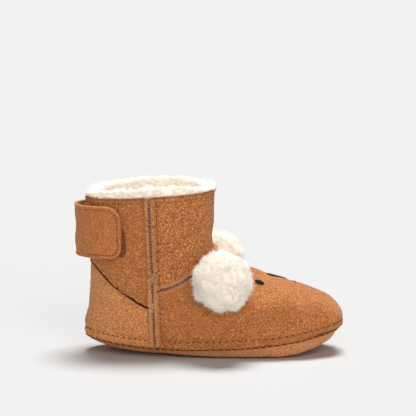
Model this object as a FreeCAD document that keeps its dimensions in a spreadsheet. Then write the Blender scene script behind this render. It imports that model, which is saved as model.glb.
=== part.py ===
import FreeCAD, Part
import math
import os

# ---------------------------------------------------------------------------
# Baby bootie: soft suede shell, fleece lining, ankle strap closed by hook tape.
# Millimetres. +X is the toe, -Y the lateral (outer) side, +Z up. The flat of
# the sole lies on z = 0.
# ---------------------------------------------------------------------------
doc = FreeCAD.newDocument("bootie")
sheet = doc.addObject("Spreadsheet::Sheet", "sizes")
sheet.Label = "sizes"
_row = [1]


def cell(alias, value):
    r = _row[0]
    sheet.set("A%d" % r, alias)
    sheet.set("B%d" % r, repr(float(value)))
    sheet.setAlias("B%d" % r, alias)
    _row[0] += 1


# materials and clearances
cell("suede_thick", 1.3)
cell("fleece_thick", 5.0)
cell("layer_gap", 0.1)
cell("vamp_layer_gap", 0.3)
cell("ear_gap", 0.95)
cell("seam_half_gap", 0.12)
cell("flap_half_gap", 0.28)
cell("edge_half_gap", 0.6)
cell("heel_fleece_drop", 3.4)
cell("quarter_fleece_lift", 1.2)
cell("slit_half_gap", 0.55)
cell("fleece_above_collar", 3.6)
# sole
cell("sole_thick", 1.5)
cell("sole_wall_reach", 3.4)
cell("sole_flat_mid_x", 4.0)
cell("sole_flat_half_length", 42.0)
cell("sole_flat_half_width", 7.5)
cell("footbed_top", 6.0)
# side seam line (x at two heights)
cell("side_seam_low_x", -26.5)
cell("side_seam_low_z", 5.0)
cell("side_seam_high_x", -29.5)
cell("side_seam_high_z", 80.0)
# strap
cell("strap_thick", 1.6)
cell("strap_tab_end_x", -42.2)
cell("strap_fold_lateral_x", -58.6)
cell("strap_fold_medial_x", -56.5)
cell("strap_anchor_end_x", -44.0)
cell("strap_top_lateral", 76.0)
cell("strap_top_medial", 73.6)
cell("strap_low_lateral", 50.2)
cell("strap_low_medial", 48.2)
cell("strap_off_tab", 2.55)
cell("strap_off_back", 3.8)
cell("strap_fold_gap", 0.5)
cell("hook_thick", 1.0)
cell("hook_front_x", -43.0)
cell("hook_back_x", -55.5)
cell("loop_thick", 1.0)
cell("loop_front_x", -40.4)
cell("loop_back_x", -55.0)
cell("loop_low", 50.4)
cell("loop_high", 63.6)
# ears, nose, eyes
cell("ear_radius", 15.2)
cell("ear_lateral_x", 6.75)
cell("ear_lateral_y", -28.0)
cell("ear_lateral_z", 39.5)
cell("ear_medial_x", 3.2)
cell("ear_medial_y", 28.0)
cell("ear_medial_z", 40.7)
cell("nose_mid_x", 34.2)
cell("nose_half_length", 4.8)
cell("nose_half_width", 3.1)
cell("nose_mid_y", 1.4)
cell("nose_thick", 1.0)
cell("eye_mid_x", 24.8)
cell("eye_side_y", 15.0)
cell("eye_half_length", 2.3)
cell("eye_half_height", 0.95)
cell("eye_thick", 0.8)
cell("mouth_mid_x", 43.2)
cell("mouth_half_width", 5.5)
# threads
cell("thread_thick", 0.45)
cell("thread_wide", 0.6)
cell("thread_gap", 0.25)
cell("collar_stitch_drop", 2.5)
cell("welt_stitch_rise", 3.8)

# Rings of the shell. Each ring is a tilted closed oval: its front point, its
# rear point, half width behind and before, squareness, sag of the sides.
RING_WORDS = ["sole_seam", "toe_low", "toe_full", "toe_top", "vamp_low", "vamp_mid",
              "vamp_high", "throat", "shaft_low", "shaft_mid", "shaft_high", "collar"]
RING_PARTS = ["front_x", "front_z", "rear_x", "rear_z", "half_back", "half_fore",
              "square", "sag", "sag_power", "level"]
RING_ROWS = [
    [65.6, 13.0, -61.3, 8.9, 24.3, 29.6, 2.55, 6.3, 2.4, 0.00],
    [67.2, 16.8, -62.0, 12.5, 24.9, 29.8, 2.50, 4.0, 2.4, 0.07],
    [66.6, 20.7, -61.6, 17.5, 25.1, 28.8, 2.45, 2.0, 2.3, 0.15],
    [60.8, 27.2, -60.4, 23.5, 25.0, 27.6, 2.38, 2.0, 2.2, 0.24],
    [45.8, 33.9, -59.6, 29.5, 24.6, 26.2, 2.32, 4.5, 2.1, 0.33],
    [29.2, 39.4, -59.0, 35.5, 24.3, 25.0, 2.32, 8.0, 2.0, 0.42],
    [12.0, 45.5, -58.9, 41.5, 24.0, 24.0, 2.36, 12.0, 1.9, 0.51],
    [3.0, 50.5, -59.0, 46.5, 23.8, 23.4, 2.45, 15.0, 1.85, 0.58],
    [1.8, 58.0, -60.5, 55.0, 23.7, 23.2, 2.55, 10.5, 1.9, 0.68],
    [1.9, 66.5, -61.5, 64.0, 23.8, 23.4, 2.60, 6.0, 2.0, 0.80],
    [2.3, 74.3, -61.9, 72.5, 24.0, 23.6, 2.60, 2.5, 2.0, 0.90],
    [3.1, 82.0, -60.9, 78.7, 24.2, 23.8, 2.60, 0.3, 2.0, 1.00],
]
for word, row in zip(RING_WORDS, RING_ROWS):
    for part, value in zip(RING_PARTS, row):
        cell("%s_%s" % (word, part), value)

# Upper edge of the heel panel, seen from the side.
HEEL_EDGE = [(-59.0, 47.2), (-52.7, 40.2), (-46.7, 35.3), (-40.9, 31.1), (-35.2, 27.4), (-29.2, 24.6)]
HEEL_WORDS = ["rear", "one", "two", "three", "four", "front"]
for word, (x, z) in zip(HEEL_WORDS, HEEL_EDGE):
    cell("heel_edge_%s_x" % word, x)
    cell("heel_edge_%s_z" % word, z)
doc.recompute()


def size(alias):
    return float(sheet.get(alias))


RINGS = [[size("%s_%s" % (w, p)) for p in RING_PARTS] for w in RING_WORDS]
LEVELS = [r[9] for r in RINGS]
EDGE = [(size("heel_edge_%s_x" % w), size("heel_edge_%s_z" % w)) for w in HEEL_WORDS]
THROAT = size("throat_level")


def slopes(xs, ys):
    """Shape-keeping cubic slopes, so the rings never overshoot."""
    h = [xs[i + 1] - xs[i] for i in range(len(xs) - 1)]
    d = [(ys[i + 1] - ys[i]) / h[i] for i in range(len(h))]
    m = [d[0]]
    for i in range(1, len(h)):
        if d[i - 1] * d[i] <= 0:
            m.append(0.0)
        else:
            w1, w2 = 2 * h[i] + h[i - 1], h[i] + 2 * h[i - 1]
            m.append((w1 + w2) / (w1 / d[i - 1] + w2 / d[i]))
    m.append(d[-1])
    return m


COLS = [[r[k] for r in RINGS] for k in range(9)]
SLOPES = [slopes(LEVELS, c) for c in COLS]


def ring_at(t):
    """Values of the ring at level t; beyond the ends the shell runs on straight."""
    if t <= LEVELS[0]:
        return [COLS[k][0] + SLOPES[k][0] * (t - LEVELS[0]) for k in range(9)]
    if t >= LEVELS[-1]:
        return [COLS[k][-1] + SLOPES[k][-1] * (t - LEVELS[-1]) for k in range(9)]
    i = 0
    while t > LEVELS[i + 1]:
        i += 1
    h = LEVELS[i + 1] - LEVELS[i]
    s = (t - LEVELS[i]) / h
    a = 2 * s ** 3 - 3 * s ** 2 + 1
    b = s ** 3 - 2 * s ** 2 + s
    c = -2 * s ** 3 + 3 * s ** 2
    d = s ** 3 - s ** 2
    return [a * COLS[k][i] + b * h * SLOPES[k][i] + c * COLS[k][i + 1] + d * h * SLOPES[k][i + 1]
            for k in range(9)]


def shell(phi, t):
    """Point of the outer face of the upper. phi 0 toe, +pi/2 medial, pi heel."""
    fx, fz, bx, bz, wb, wf, n, sag, p = ring_at(t)
    c, s = math.cos(phi), math.sin(phi)
    r = 1.0 / (abs(c) ** n + abs(s) ** n) ** (1.0 / n)
    u, v = r * c, r * s
    k = (u + 1.0) / 2.0
    k2 = k * k * (3 - 2 * k)
    x = (fx + bx) / 2.0 + (fx - bx) / 2.0 * u
    y = (wb + (wf - wb) * k2) * v
    z = bz + (fz - bz) * k - sag * (1.0 - abs(u) ** p)
    return (x, y, z)


def normal(phi, t):
    e, g = 2e-3, 2e-3
    a, b = shell(phi + e, t), shell(phi - e, t)
    c, d = shell(phi, t + g), shell(phi, t - g)
    p = [a[i] - b[i] for i in range(3)]
    q = [c[i] - d[i] for i in range(3)]
    m = [p[1] * q[2] - p[2] * q[1], p[2] * q[0] - p[0] * q[2], p[0] * q[1] - p[1] * q[0]]
    k = math.sqrt(sum(i * i for i in m))
    return [i / k for i in m]


def off(phi, t, d):
    """Point at distance d outside the shell (negative is inside)."""
    s, m = shell(phi, t), normal(phi, t)
    return (s[0] + m[0] * d, s[1] + m[1] * d, s[2] + m[2] * d)


def seam_x(z):
    k = (z - size_low_z) / (size_high_z - size_low_z)
    return size_low_x + (size_high_x - size_low_x) * k


size_low_x, size_low_z = size("side_seam_low_x"), size("side_seam_low_z")
size_high_x, size_high_z = size("side_seam_high_x"), size("side_seam_high_z")


def seam_phi(t, shift=0.0):
    """Angle of the side seam on the medial half at level t, shifted along x."""
    lo, hi = 0.2, math.pi - 0.2
    for _ in range(40):
        mid = (lo + hi) / 2
        x, y, z = shell(mid, t)
        if x > seam_x(z) + shift:
            lo = mid
        else:
            hi = mid
    return (lo + hi) / 2


def phi_at_x(x0, t):
    """Angle on the medial half where the ring at level t passes x = x0."""
    lo, hi = 0.0, math.pi
    for _ in range(40):
        mid = (lo + hi) / 2
        if shell(mid, t)[0] > x0:
            lo = mid
        else:
            hi = mid
    return (lo + hi) / 2


def level_at_z(phi, z0, lo=-0.05, hi=1.15):
    for _ in range(40):
        mid = (lo + hi) / 2
        if shell(phi, mid)[2] < z0:
            lo = mid
        else:
            hi = mid
    return (lo + hi) / 2


def edge_z(x):
    """Height of the upper edge of the heel panel at x."""
    pts = EDGE
    if x <= pts[0][0]:
        return pts[0][1] + min(1.2, (pts[0][0] - x) * 0.6)
    for (xa, za), (xb, zb) in zip(pts, pts[1:]):
        if x <= xb:
            return za + (zb - za) * (x - xa) / (xb - xa)
    (xa, za), (xb, zb) = pts[-2], pts[-1]
    return zb + (x - xb) * (zb - za) / (xb - xa)


def edge_level(phi, shift):
    """Level of the heel-panel edge at angle phi, shifted up by shift."""
    lo, hi = 0.02, 0.9
    for _ in range(40):
        mid = (lo + hi) / 2
        x, y, z = shell(phi, mid)
        if z < edge_z(x) + shift:
            lo = mid
        else:
            hi = mid
    return (lo + hi) / 2


# ---------------------------------------------------------------------------
# Solids from two faced grids of points.
# ---------------------------------------------------------------------------
def vec(p):
    return FreeCAD.Vector(p[0], p[1], p[2])


def spline_face(grid):
    surf = Part.BSplineSurface()
    surf.interpolate([[vec(p) for p in row] for row in grid])
    return surf


def slab(outer, inner):
    """Closed solid between two grids of points of the same size."""
    so, si = spline_face(outer), spline_face(inner)
    faces = [so.toShape(), si.toShape()]
    for side in range(4):
        edges = []
        for s in (so, si):
            u0, u1, v0, v1 = s.bounds()
            if side == 0:
                curve = s.uIso(u0)
            elif side == 1:
                curve = s.uIso(u1)
            elif side == 2:
                curve = s.vIso(v0)
            else:
                curve = s.vIso(v1)
            edges.append(curve.toShape())
        faces.append(Part.makeRuledSurface(edges[0], edges[1]))
    sh = Part.makeShell(faces)
    sh.sewShape(1e-3)
    if sh.ShapeType != "Shell":
        sh = sh.Shells[0]
    solid = Part.makeSolid(sh)
    if solid.Volume < 0:
        solid.reverse()
    return solid


def spread(a, b, n):
    return [a + (b - a) * i / (n - 1.0) for i in range(n)]


def panel(where, d_out, d_in, ns, nt):
    """where(s, v) gives (phi, t); the panel lies between two distances."""
    outer, inner = [], []
    for s in spread(0, 1, ns):
        ro, ri = [], []
        for v in spread(0, 1, nt):
            phi, t = where(s, v)
            do = d_out(s, v) if callable(d_out) else d_out
            di = d_in(s, v) if callable(d_in) else d_in
            ro.append(off(phi, t, do))
            ri.append(off(phi, t, di))
        outer.append(ro)
        inner.append(ri)
    return slab(outer, inner)


made = []


def keep(name, shape):
    """Add one finished piece under its own name."""
    ob = doc.addObject("Part::Feature", name)
    ob.Label = name
    ob.Shape = shape
    ob.Placement = FreeCAD.Placement()
    made.append(ob)
    return ob


SUEDE = size("suede_thick")
GAP = size("layer_gap")
FLEECE_OUT = -(SUEDE + GAP)
FLEECE_IN = -(SUEDE + GAP + size("fleece_thick"))
SEAM = size("seam_half_gap")
FLAP = size("flap_half_gap")
SLIT = size("slit_half_gap")
RISE = size("fleece_above_collar") / 77.0
TH = size("thread_thick")
TW = size("thread_wide")
TG = size("thread_gap")
VAMP_OUT = -(SUEDE + size("vamp_layer_gap"))
VAMP_IN = VAMP_OUT - size("fleece_thick")


# ---- vamp: over the toe, from side seam to side seam, up to the throat ring
def vamp_where(t0, t1, shift=0.0):
    def where(s, v):
        t = t0 + (t1 - t0) * v
        p = seam_phi(t, shift)
        return (-p + 2 * p * s, t)
    return where


keep("vamp_panel", panel(vamp_where(0.004, THROAT - 0.006, SEAM), 0.0, -SUEDE, 41, 15))
keep("vamp_fleece", panel(vamp_where(0.03, THROAT - 0.006, SEAM + 0.1), VAMP_OUT, VAMP_IN, 41, 15))


# ---- front half of the shaft
def front_where(t0, t1, shift):
    def where(s, v):
        t = t0 + (t1 - t0) * v
        p = seam_phi(t, shift)
        return (-p + 2 * p * s, t)
    return where


keep("shaft_front_panel", panel(front_where(THROAT + 0.002, 1.0, FLAP), 0.0, -SUEDE, 33, 9))
keep("shaft_front_fleece", panel(front_where(THROAT + 0.002, 1.0 + RISE, FLAP), FLEECE_OUT, FLEECE_IN, 33, 9))


# ---- heel panel, through the back from seam to seam, below the free edge
def heel_where(t0, drop):
    def where(s, v):
        t = 0.2
        phi = math.pi
        for _ in range(16):
            p = seam_phi(t, -SEAM)
            phi = p + (2 * math.pi - 2 * p) * s
            top = edge_level(phi if phi <= math.pi else 2 * math.pi - phi, -drop)
            t += (t0 + (top - t0) * v - t) * 0.6
        return (phi, t)
    return where


keep("heel_counter_panel", panel(heel_where(0.004, size("edge_half_gap")), 0.0, -SUEDE, 61, 11))
keep("heel_counter_fleece", panel(heel_where(0.03, size("heel_fleece_drop")), FLEECE_OUT, FLEECE_IN, 61, 11))


# ---- rear halves of the shaft (the two flaps)
def quarter_where(side, t1, lift, shift=None):
    sh = -FLAP if shift is None else shift
    slit = SLIT / 24.0

    def where(s, v):
        t = 0.7
        phi = 2.0
        for _ in range(16):
            p = seam_phi(t, sh)
            phi = p + (math.pi - slit - p) * s
            low = edge_level(phi, lift)
            t += (low + (t1 - low) * v - t) * 0.6
        return (side * phi, t)
    return where


for side, word in ((-1, "lateral"), (1, "medial")):
    keep("%s_quarter_panel" % word, panel(quarter_where(side, 1.0, size("edge_half_gap")), 0.0, -SUEDE, 41, 13))
    keep("%s_quarter_fleece" % word, panel(quarter_where(side, 1.0 + RISE, size("quarter_fleece_lift")), FLEECE_OUT, FLEECE_IN, 41, 13))


# ---- sole: flat below, turned up to the sole seam
# Height of the sole's rounded lower edge, along its length.
LIFT = [(-62.0, 8.0), (-59.0, 7.3), (-55.0, 6.3), (-49.0, 5.2), (-39.0, 3.8), (-24.0, 3.0), (-4.0, 1.8),
        (16.0, 0.9), (36.0, 1.0), (46.0, 2.3), (51.0, 3.7), (56.0, 5.2), (61.0, 7.8), (64.5, 9.8), (66.0, 11.0)]


def lift_at(x):
    if x <= LIFT[0][0]:
        return LIFT[0][1]
    for (xa, za), (xb, zb) in zip(LIFT, LIFT[1:]):
        if x <= xb:
            return za + (zb - za) * (x - xa) / (xb - xa)
    return LIFT[-1][1]


def ease(k):
    k = max(0.0, min(1.0, k))
    return k * k * (3 - 2 * k)


def flat_outline(phi):
    """Outline of the flat of the sole at angle phi."""
    n = 2.2
    c, s = math.cos(phi), math.sin(phi)
    r = 1.0 / (abs(c) ** n + abs(s) ** n) ** (1.0 / n)
    return (size("sole_flat_mid_x") + size("sole_flat_half_length") * r * c, size("sole_flat_half_width") * r * s)


def sole_point(phi, w, thick, extra=0.0):
    """w 0 at the seam, 1 where the sole lies flat; thick moves inside."""
    x, y, z = shell(phi, 0.0)
    gx, gy = flat_outline(phi)
    span = math.hypot(gx - x, gy - y)
    dx, dy = (gx - x) / span, (gy - y) / span
    d = span * w
    low = min(lift_at(x), z - 0.6)
    k = ease(d / size("sole_wall_reach"))
    zz = (z - low) * (1 - k) + low * (1 - w) ** 1.5
    if thick > 0:
        zz += thick * k if w < 1 else thick
        d = thick + d * (span - thick + 1.0) / span
    d += extra
    return (x + dx * d, y + dy * d, zz)


def closed_edge(points):
    c = Part.BSplineCurve()
    c.interpolate([vec(p) for p in points])
    return c.toShape()


def sole_solid(thick):
    ws = [0.0, 0.04, 0.09, 0.15, 0.22, 0.32, 0.45, 0.6, 0.78, 0.9, 1.0]
    faces, bottoms = [], []
    for d in (0.0, thick):
        loops = []
        for a, b in ((0.0, math.pi), (math.pi, 2 * math.pi)):
            grid = [[sole_point(f, w, d) for w in ws] for f in spread(a, b, 33)]
            s = spline_face(grid)
            faces.append(s.toShape())
            u0, u1, v0, v1 = s.bounds()
            loops.append((s.vIso(v0).toShape(), s.vIso(v1).toShape()))
        bottoms.append(loops)
    for k in (0, 1):
        faces.append(Part.makeRuledSurface(bottoms[0][k][0], bottoms[1][k][0]))
    for k in (0, 1):
        wire = Part.Wire([bottoms[k][0][1], bottoms[k][1][1]])
        faces.append(Part.Face(wire))
    sh = Part.makeShell(faces)
    sh.sewShape(1e-3)
    if sh.ShapeType != "Shell":
        sh = sh.Shells[0]
    solid = Part.makeSolid(sh)
    if solid.Volume < 0:
        solid.reverse()
    return solid


SOLE = size("sole_thick")
keep("sole_panel", sole_solid(SOLE))


def footbed_ring(z0, extra):
    pts = []
    for f in spread(0, 2 * math.pi, 49)[:-1]:
        if z0 <= SOLE + 0.3:
            w = 1.0
        else:
            lo, hi = 0.0, 1.0
            for _ in range(40):
                mid = (lo + hi) / 2
                if sole_point(f, mid, SOLE)[2] > z0:
                    lo = mid
                else:
                    hi = mid
            w = lo
        x, y, z = sole_point(f, w, SOLE, extra)
        pts.append((x, y, z0))
    c = Part.BSplineCurve()
    c.interpolate([vec(p) for p in pts], True)
    return Part.Wire([c.toShape()])


keep("footbed_fleece", Part.makeLoft([footbed_ring(SOLE + GAP, 0.8), footbed_ring(size("footbed_top"), 0.8)],
                                     True, True))

# ---- strap round the back of the ankle
T_MID = 0.8
PHI_END = phi_at_x(size("strap_tab_end_x"), T_MID)
PHI_FOLD_L = phi_at_x(size("strap_fold_lateral_x"), T_MID)
PHI_FOLD_M = phi_at_x(size("strap_fold_medial_x"), T_MID)
PHI_ANCHOR = phi_at_x(size("strap_anchor_end_x"), T_MID)
# the strap is followed by one angle a: lateral side is negative, the back is pi
A_TAB = -PHI_END + 2 * math.pi
A_FOLD_L = -PHI_FOLD_L + 2 * math.pi
A_FOLD_M = PHI_FOLD_M
A_ANCHOR = PHI_ANCHOR


def smooth(k):
    k = max(0.0, min(1.0, k))
    return k * k * (3 - 2 * k)


def strap_off(a):
    """Distance of the strap's inner face from the shell at angle a."""
    tab, back = size("strap_off_tab"), size("strap_off_back")
    if a >= A_FOLD_L:
        return tab + 0.5 * smooth(1 - (a - A_FOLD_L) / (A_TAB - A_FOLD_L) * 1.6)
    if a >= math.pi:
        return back + (tab + 0.5 - back) * smooth((a - math.pi) / (A_FOLD_L - math.pi))
    if a >= A_FOLD_M:
        return 2.0 + (back - 2.0) * smooth((a - A_FOLD_M) / (math.pi - A_FOLD_M))
    return GAP + (2.0 - GAP) * smooth((a - A_ANCHOR) / (A_FOLD_M - A_ANCHOR) * 1.5 - 0.5)


def strap_rim(a):
    k = (a - A_ANCHOR) / (A_TAB - A_ANCHOR)
    top = size("strap_top_medial") + (size("strap_top_lateral") - size("strap_top_medial")) * k
    low = size("strap_low_medial") + (size("strap_low_lateral") - size("strap_low_medial")) * k
    return low, top


def strap_where(a0, a1, end_round=0.0, low=None, top=None, trim=0.0):
    """Strip of the strap from angle a0 to a1; end_round narrows the last part."""
    def where(s, v):
        if end_round > 0:
            s = 1 - (1 - s) ** 1.6
        a = a0 + (a1 - a0) * s
        lo, hi = strap_rim(a)
        lo, hi = lo + trim, hi - trim
        if low is not None:
            lo, hi = low, top
        if end_round > 0:
            left = (1 - s) * abs(a1 - a0) * 33.0
            if left < end_round:
                cut = end_round - math.sqrt(max(0.0, end_round ** 2 - (end_round - left) ** 2))
                lo, hi = lo + cut * 0.85, hi - cut
        z = lo + (hi - lo) * v
        return (a, level_at_z(a, z))
    return where


def strap_panel(a0, a1, d0, d1, ns, nt, **kw):
    where = strap_where(a0, a1, **kw)

    def dist(d):
        def f(s, v):
            a, t = where(s, v)
            return strap_off(a) + d
        return f
    return panel(where, dist(d1), dist(d0), ns, nt)


STRAP = size("strap_thick")
HALF = size("strap_fold_gap") / 2.0 / 33.0
keep("strap_anchor", strap_panel(A_ANCHOR, A_FOLD_M - HALF, 0.0, STRAP, 9, 7))
keep("strap_back", strap_panel(A_FOLD_M + HALF, A_FOLD_L - HALF, 0.0, STRAP, 21, 7))
keep("strap_tab", strap_panel(A_FOLD_L + HALF, A_TAB, 0.0, STRAP, 17, 9, end_round=6.5))
HOOK = size("hook_thick")
A_HOOK0 = -phi_at_x(size("hook_back_x"), T_MID) + 2 * math.pi
A_HOOK1 = -phi_at_x(size("hook_front_x"), T_MID) + 2 * math.pi
keep("hook_tape", strap_panel(A_HOOK0, A_HOOK1, -HOOK - 0.05, -0.05, 9, 7, end_round=6.0, trim=2.0))


def flat_where(side, xa, xb, za, zb):
    def where(s, v):
        z = za + (zb - za) * v
        a = phi_at_x(xa + (xb - xa) * s, 0.75)
        return (side * a, level_at_z(a, z))
    return where


LOOP = size("loop_thick")
LX0, LX1, LZ0, LZ1 = size("loop_back_x"), size("loop_front_x"), size("loop_low"), size("loop_high")
keep("loop_patch", panel(flat_where(-1, LX0, LX1, LZ0, LZ1), GAP + LOOP, GAP, 9, 7))


# ---- fluffy ears: balls seated against the instep
def seat(side):
    def where(s, v):
        t = 0.12 + (0.93 - 0.12) * v
        p = seam_phi(t, 3.0)
        return (side * (0.06 + (p - 0.06) * s), t)
    return panel(where, size("ear_gap"), -13.0, 17, 17)


for side, word in ((-1, "lateral"), (1, "medial")):
    ball = doc.addObject("Part::Sphere", "ear_ball_%s" % word)
    ball.setExpression("Radius", "sizes.ear_radius")
    ball.setExpression("Placement.Base.x", "sizes.ear_%s_x" % word)
    ball.setExpression("Placement.Base.y", "sizes.ear_%s_y" % word)
    ball.setExpression("Placement.Base.z", "sizes.ear_%s_z" % word)
    form = doc.addObject("Part::Feature", "ear_seat_%s" % word)
    form.Shape = seat(side)
    cut = doc.addObject("Part::Cut", "ear_pompom_%s" % word)
    cut.Label = "ear_pompom_%s" % word
    cut.Base = ball
    cut.Tool = form
    made.append(cut)


# ---- embroidered face
def vamp_level_at_x(x0):
    lo, hi = 0.15, THROAT
    for _ in range(40):
        mid = (lo + hi) / 2
        if ring_at(mid)[0] > x0:
            lo = mid
        else:
            hi = mid
    return (lo + hi) / 2


def spot(x0, y0, guess_t=0.4):
    """Angle and level of the point of the vamp above (x0, y0)."""
    phi, t = math.atan2(y0, 24.0) * 1.2, vamp_level_at_x(x0)
    for _ in range(60):
        x, y, z = shell(phi, t)
        a, b = shell(phi + 1e-3, t), shell(phi, t + 1e-3)
        j11, j12 = (a[0] - x) / 1e-3, (b[0] - x) / 1e-3
        j21, j22 = (a[1] - y) / 1e-3, (b[1] - y) / 1e-3
        det = j11 * j22 - j12 * j21
        ex, ey = x0 - x, y0 - y
        dp = (ex * j22 - ey * j12) / det
        dt = (j11 * ey - j21 * ex) / det
        phi += max(-0.1, min(0.1, dp))
        t += max(-0.03, min(0.03, dt))
    return phi, t


def oval_patch(mx, my, half_x, half_y, thick, ns=9, nt=7):
    """Thin raised oval of thread lying on the vamp, seen from above."""
    def where(s, v):
        k = 2 * s - 1
        w = half_y * math.sqrt(max(0.0, 1 - k * k)) * 0.9 + half_y * 0.1
        return spot(mx + half_x * k, my + w * (2 * v - 1))

    def rise(s, v):
        k, m = 2 * s - 1, 2 * v - 1
        return GAP * 0.5 + 0.25 + (thick - 0.25) * max(0.0, 1 - k * k) * max(0.0, 1 - m * m)
    return panel(where, rise, GAP * 0.5, ns, nt)


keep("nose_patch", oval_patch(size("nose_mid_x"), size("nose_mid_y"), size("nose_half_length"), size("nose_half_width"),
                              size("nose_thick")))
for side, word in ((-1, "lateral"), (1, "medial")):
    keep("eye_%s" % word, oval_patch(size("eye_mid_x"), side * size("eye_side_y"), size("eye_half_length"),
                                     size("eye_half_height") * 1.6, size("eye_thick")))


def mouth_where(s, v):
    m = size("mouth_half_width")
    y = -m + 2 * m * s
    x = size("mouth_mid_x") + 0.9 * abs(y) / m + TW * (v - 0.5)
    return spot(x, y)


keep("mouth_stitch", panel(mouth_where, GAP + TH, GAP * 0.5, 13, 3))


# ---- threads
def ribbon(path, ns, side_by="t", half=None):
    """Thin strip of thread following path(s) = (phi, t), just off the suede."""
    h = (TW if half is None else half) / 2.0

    def where(s, v):
        phi, t = path(s)
        m = (2 * v - 1) * h
        if side_by == "t":
            a, b = shell(phi, t + 2e-3), shell(phi, t - 2e-3)
            k = math.sqrt(sum((a[i] - b[i]) ** 2 for i in range(3))) / 4e-3
            return (phi, t + m / k)
        a, b = shell(phi + 2e-3, t), shell(phi - 2e-3, t)
        k = math.sqrt(sum((a[i] - b[i]) ** 2 for i in range(3))) / 4e-3
        return (phi + m / k, t)
    return panel(where, TG + TH, TG, ns, 3)


def along_level(a0, a1, t0):
    return lambda s: (a0 + (a1 - a0) * s, t0)


WELT = size("welt_stitch_rise")


def welt_path(s):
    a = -math.pi + 0.02 + (2 * math.pi - 0.04) * s
    return (a, level_at_z(a, shell(a, 0.0)[2] + WELT))


keep("welt_stitch_row", ribbon(welt_path, 65))


def sole_thread():
    """Strip of thread on the turned-up edge of the sole, just under the seam."""
    outer, inner = [], []
    for f in spread(-math.pi + 0.02, math.pi - 0.02, 65):
        ro, ri = [], []
        for w in (0.012, 0.03, 0.048):
            x, y, z = sole_point(f, w, 0.0)
            e = 1e-3
            a, b = sole_point(f + e, w, 0.0), sole_point(f - e, w, 0.0)
            c, d = sole_point(f, w - e, 0.0), sole_point(f, w + e, 0.0)
            p = [a[i] - b[i] for i in range(3)]
            q = [c[i] - d[i] for i in range(3)]
            m = [p[1] * q[2] - p[2] * q[1], p[2] * q[0] - p[0] * q[2], p[0] * q[1] - p[1] * q[0]]
            k = math.sqrt(sum(i * i for i in m))
            m = [i / k for i in m]
            ro.append(tuple((x, y, z)[i] + m[i] * (TG + TH) for i in range(3)))
            ri.append(tuple((x, y, z)[i] + m[i] * TG for i in range(3)))
        outer.append(ro)
        inner.append(ri)
    return slab(outer, inner)


keep("sole_seam_thread", sole_thread())

COLLAR = 1.0 - size("collar_stitch_drop") / 77.0


def front_collar(s):
    p = seam_phi(COLLAR, 2.6)
    return (-p + 2 * p * s, COLLAR)


keep("collar_stitch_front", ribbon(front_collar, 33))
for side, word in ((-1, "lateral"), (1, "medial")):
    def quarter_collar(s, side=side):
        p = seam_phi(COLLAR, -1.5)
        return (side * (p + (math.pi - 0.06 - p) * s), COLLAR)
    keep("collar_stitch_%s" % word, ribbon(quarter_collar, 17))

    def side_thread(s, side=side):
        t = 0.095 + (0.99 - 0.095) * s
        return (side * seam_phi(t, 0.9), t)
    keep("side_seam_thread_%s" % word, ribbon(side_thread, 33, side_by="phi", half=0.8))


def instep_path(s):
    t = THROAT + 0.012
    p = seam_phi(t, 2.2)
    return (-p + 2 * p * s, t)


keep("instep_seam_thread", ribbon(instep_path, 41))


def heel_edge_path(s):
    p = seam_phi(0.25, -2.0)
    phi = p + (2 * math.pi - 2 * p) * s
    return (phi, edge_level(phi if phi <= math.pi else 2 * math.pi - phi, -2.2))


keep("heel_edge_stitch", ribbon(heel_edge_path, 41))


def strap_ribbon(a0, a1, z_of, ns):
    """Thread strip on the outside of the strap."""
    def where(s, v):
        a = a0 + (a1 - a0) * s
        z = z_of(a, s) + TW * (v - 0.5)
        return (a, level_at_z(a, z))

    def dist(d):
        def f(s, v):
            return strap_off(where(s, v)[0]) + STRAP + d
        return f
    return panel(where, dist(GAP + TH), dist(GAP * 0.5), ns, 3)


def tab_low(a, s):
    left = (A_TAB - a) * 33.0 - 1.8
    r = 4.7
    cut = r - math.sqrt(max(0.0, r * r - max(0.0, r - left) ** 2))
    return strap_rim(a)[0] + 1.8 + cut * 0.85


def tab_high(a, s):
    left = (A_TAB - a) * 33.0 - 1.8
    r = 4.7
    cut = r - math.sqrt(max(0.0, r * r - max(0.0, r - left) ** 2))
    return strap_rim(a)[1] - 1.8 - cut


def tab_stitch():
    """One U-shaped strip: along the top, round the end, back along the bottom."""
    a_in, a_out = A_FOLD_L + 0.03, A_TAB - 1.8 / 33.0
    r = 4.7
    steps = []
    for s in spread(0, 1, 9):
        a = a_in + (a_out - r / 33.0 - a_in) * s
        steps.append((a, strap_rim(a)[1] - 1.8, 0.0, 1.0))
    for q in spread(0, 1, 6)[1:]:
        g = q * math.pi / 2
        a = a_out - r / 33.0 + r / 33.0 * math.sin(g)
        steps.append((a, strap_rim(a)[1] - 1.8 - r * (1 - math.cos(g)), math.sin(g), math.cos(g)))
    lo = strap_rim(a_out)[0] + 1.8 + r
    hi = steps[-1][1]
    for q in spread(0, 1, 6)[1:]:
        steps.append((a_out, hi + (lo - hi) * q, 1.0, 0.0))
    for q in spread(0, 1, 6)[1:]:
        g = q * math.pi / 2
        a = a_out - r / 33.0 + r / 33.0 * math.cos(g)
        steps.append((a, lo - r * math.sin(g), math.cos(g), -math.sin(g)))
    a_s = steps[-1][0]
    for s in spread(0, 1, 9)[1:]:
        a = a_s + (a_in - a_s) * s
        steps.append((a, strap_rim(a)[0] + 1.8, 0.0, -1.0))
    outer, inner = [], []
    for a, z, ca, cz in steps:
        ro, ri = [], []
        for v in (-0.5, 0.0, 0.5):
            aa, zz = a + ca * v * TW / 33.0, z + cz * v * TW
            t = level_at_z(aa, zz)
            base = strap_off(aa) + STRAP
            ro.append(off(aa, t, base + GAP * 0.5 + TH))
            ri.append(off(aa, t, base + GAP * 0.5))
        outer.append(ro)
        inner.append(ri)
    return slab(outer, inner)


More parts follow.
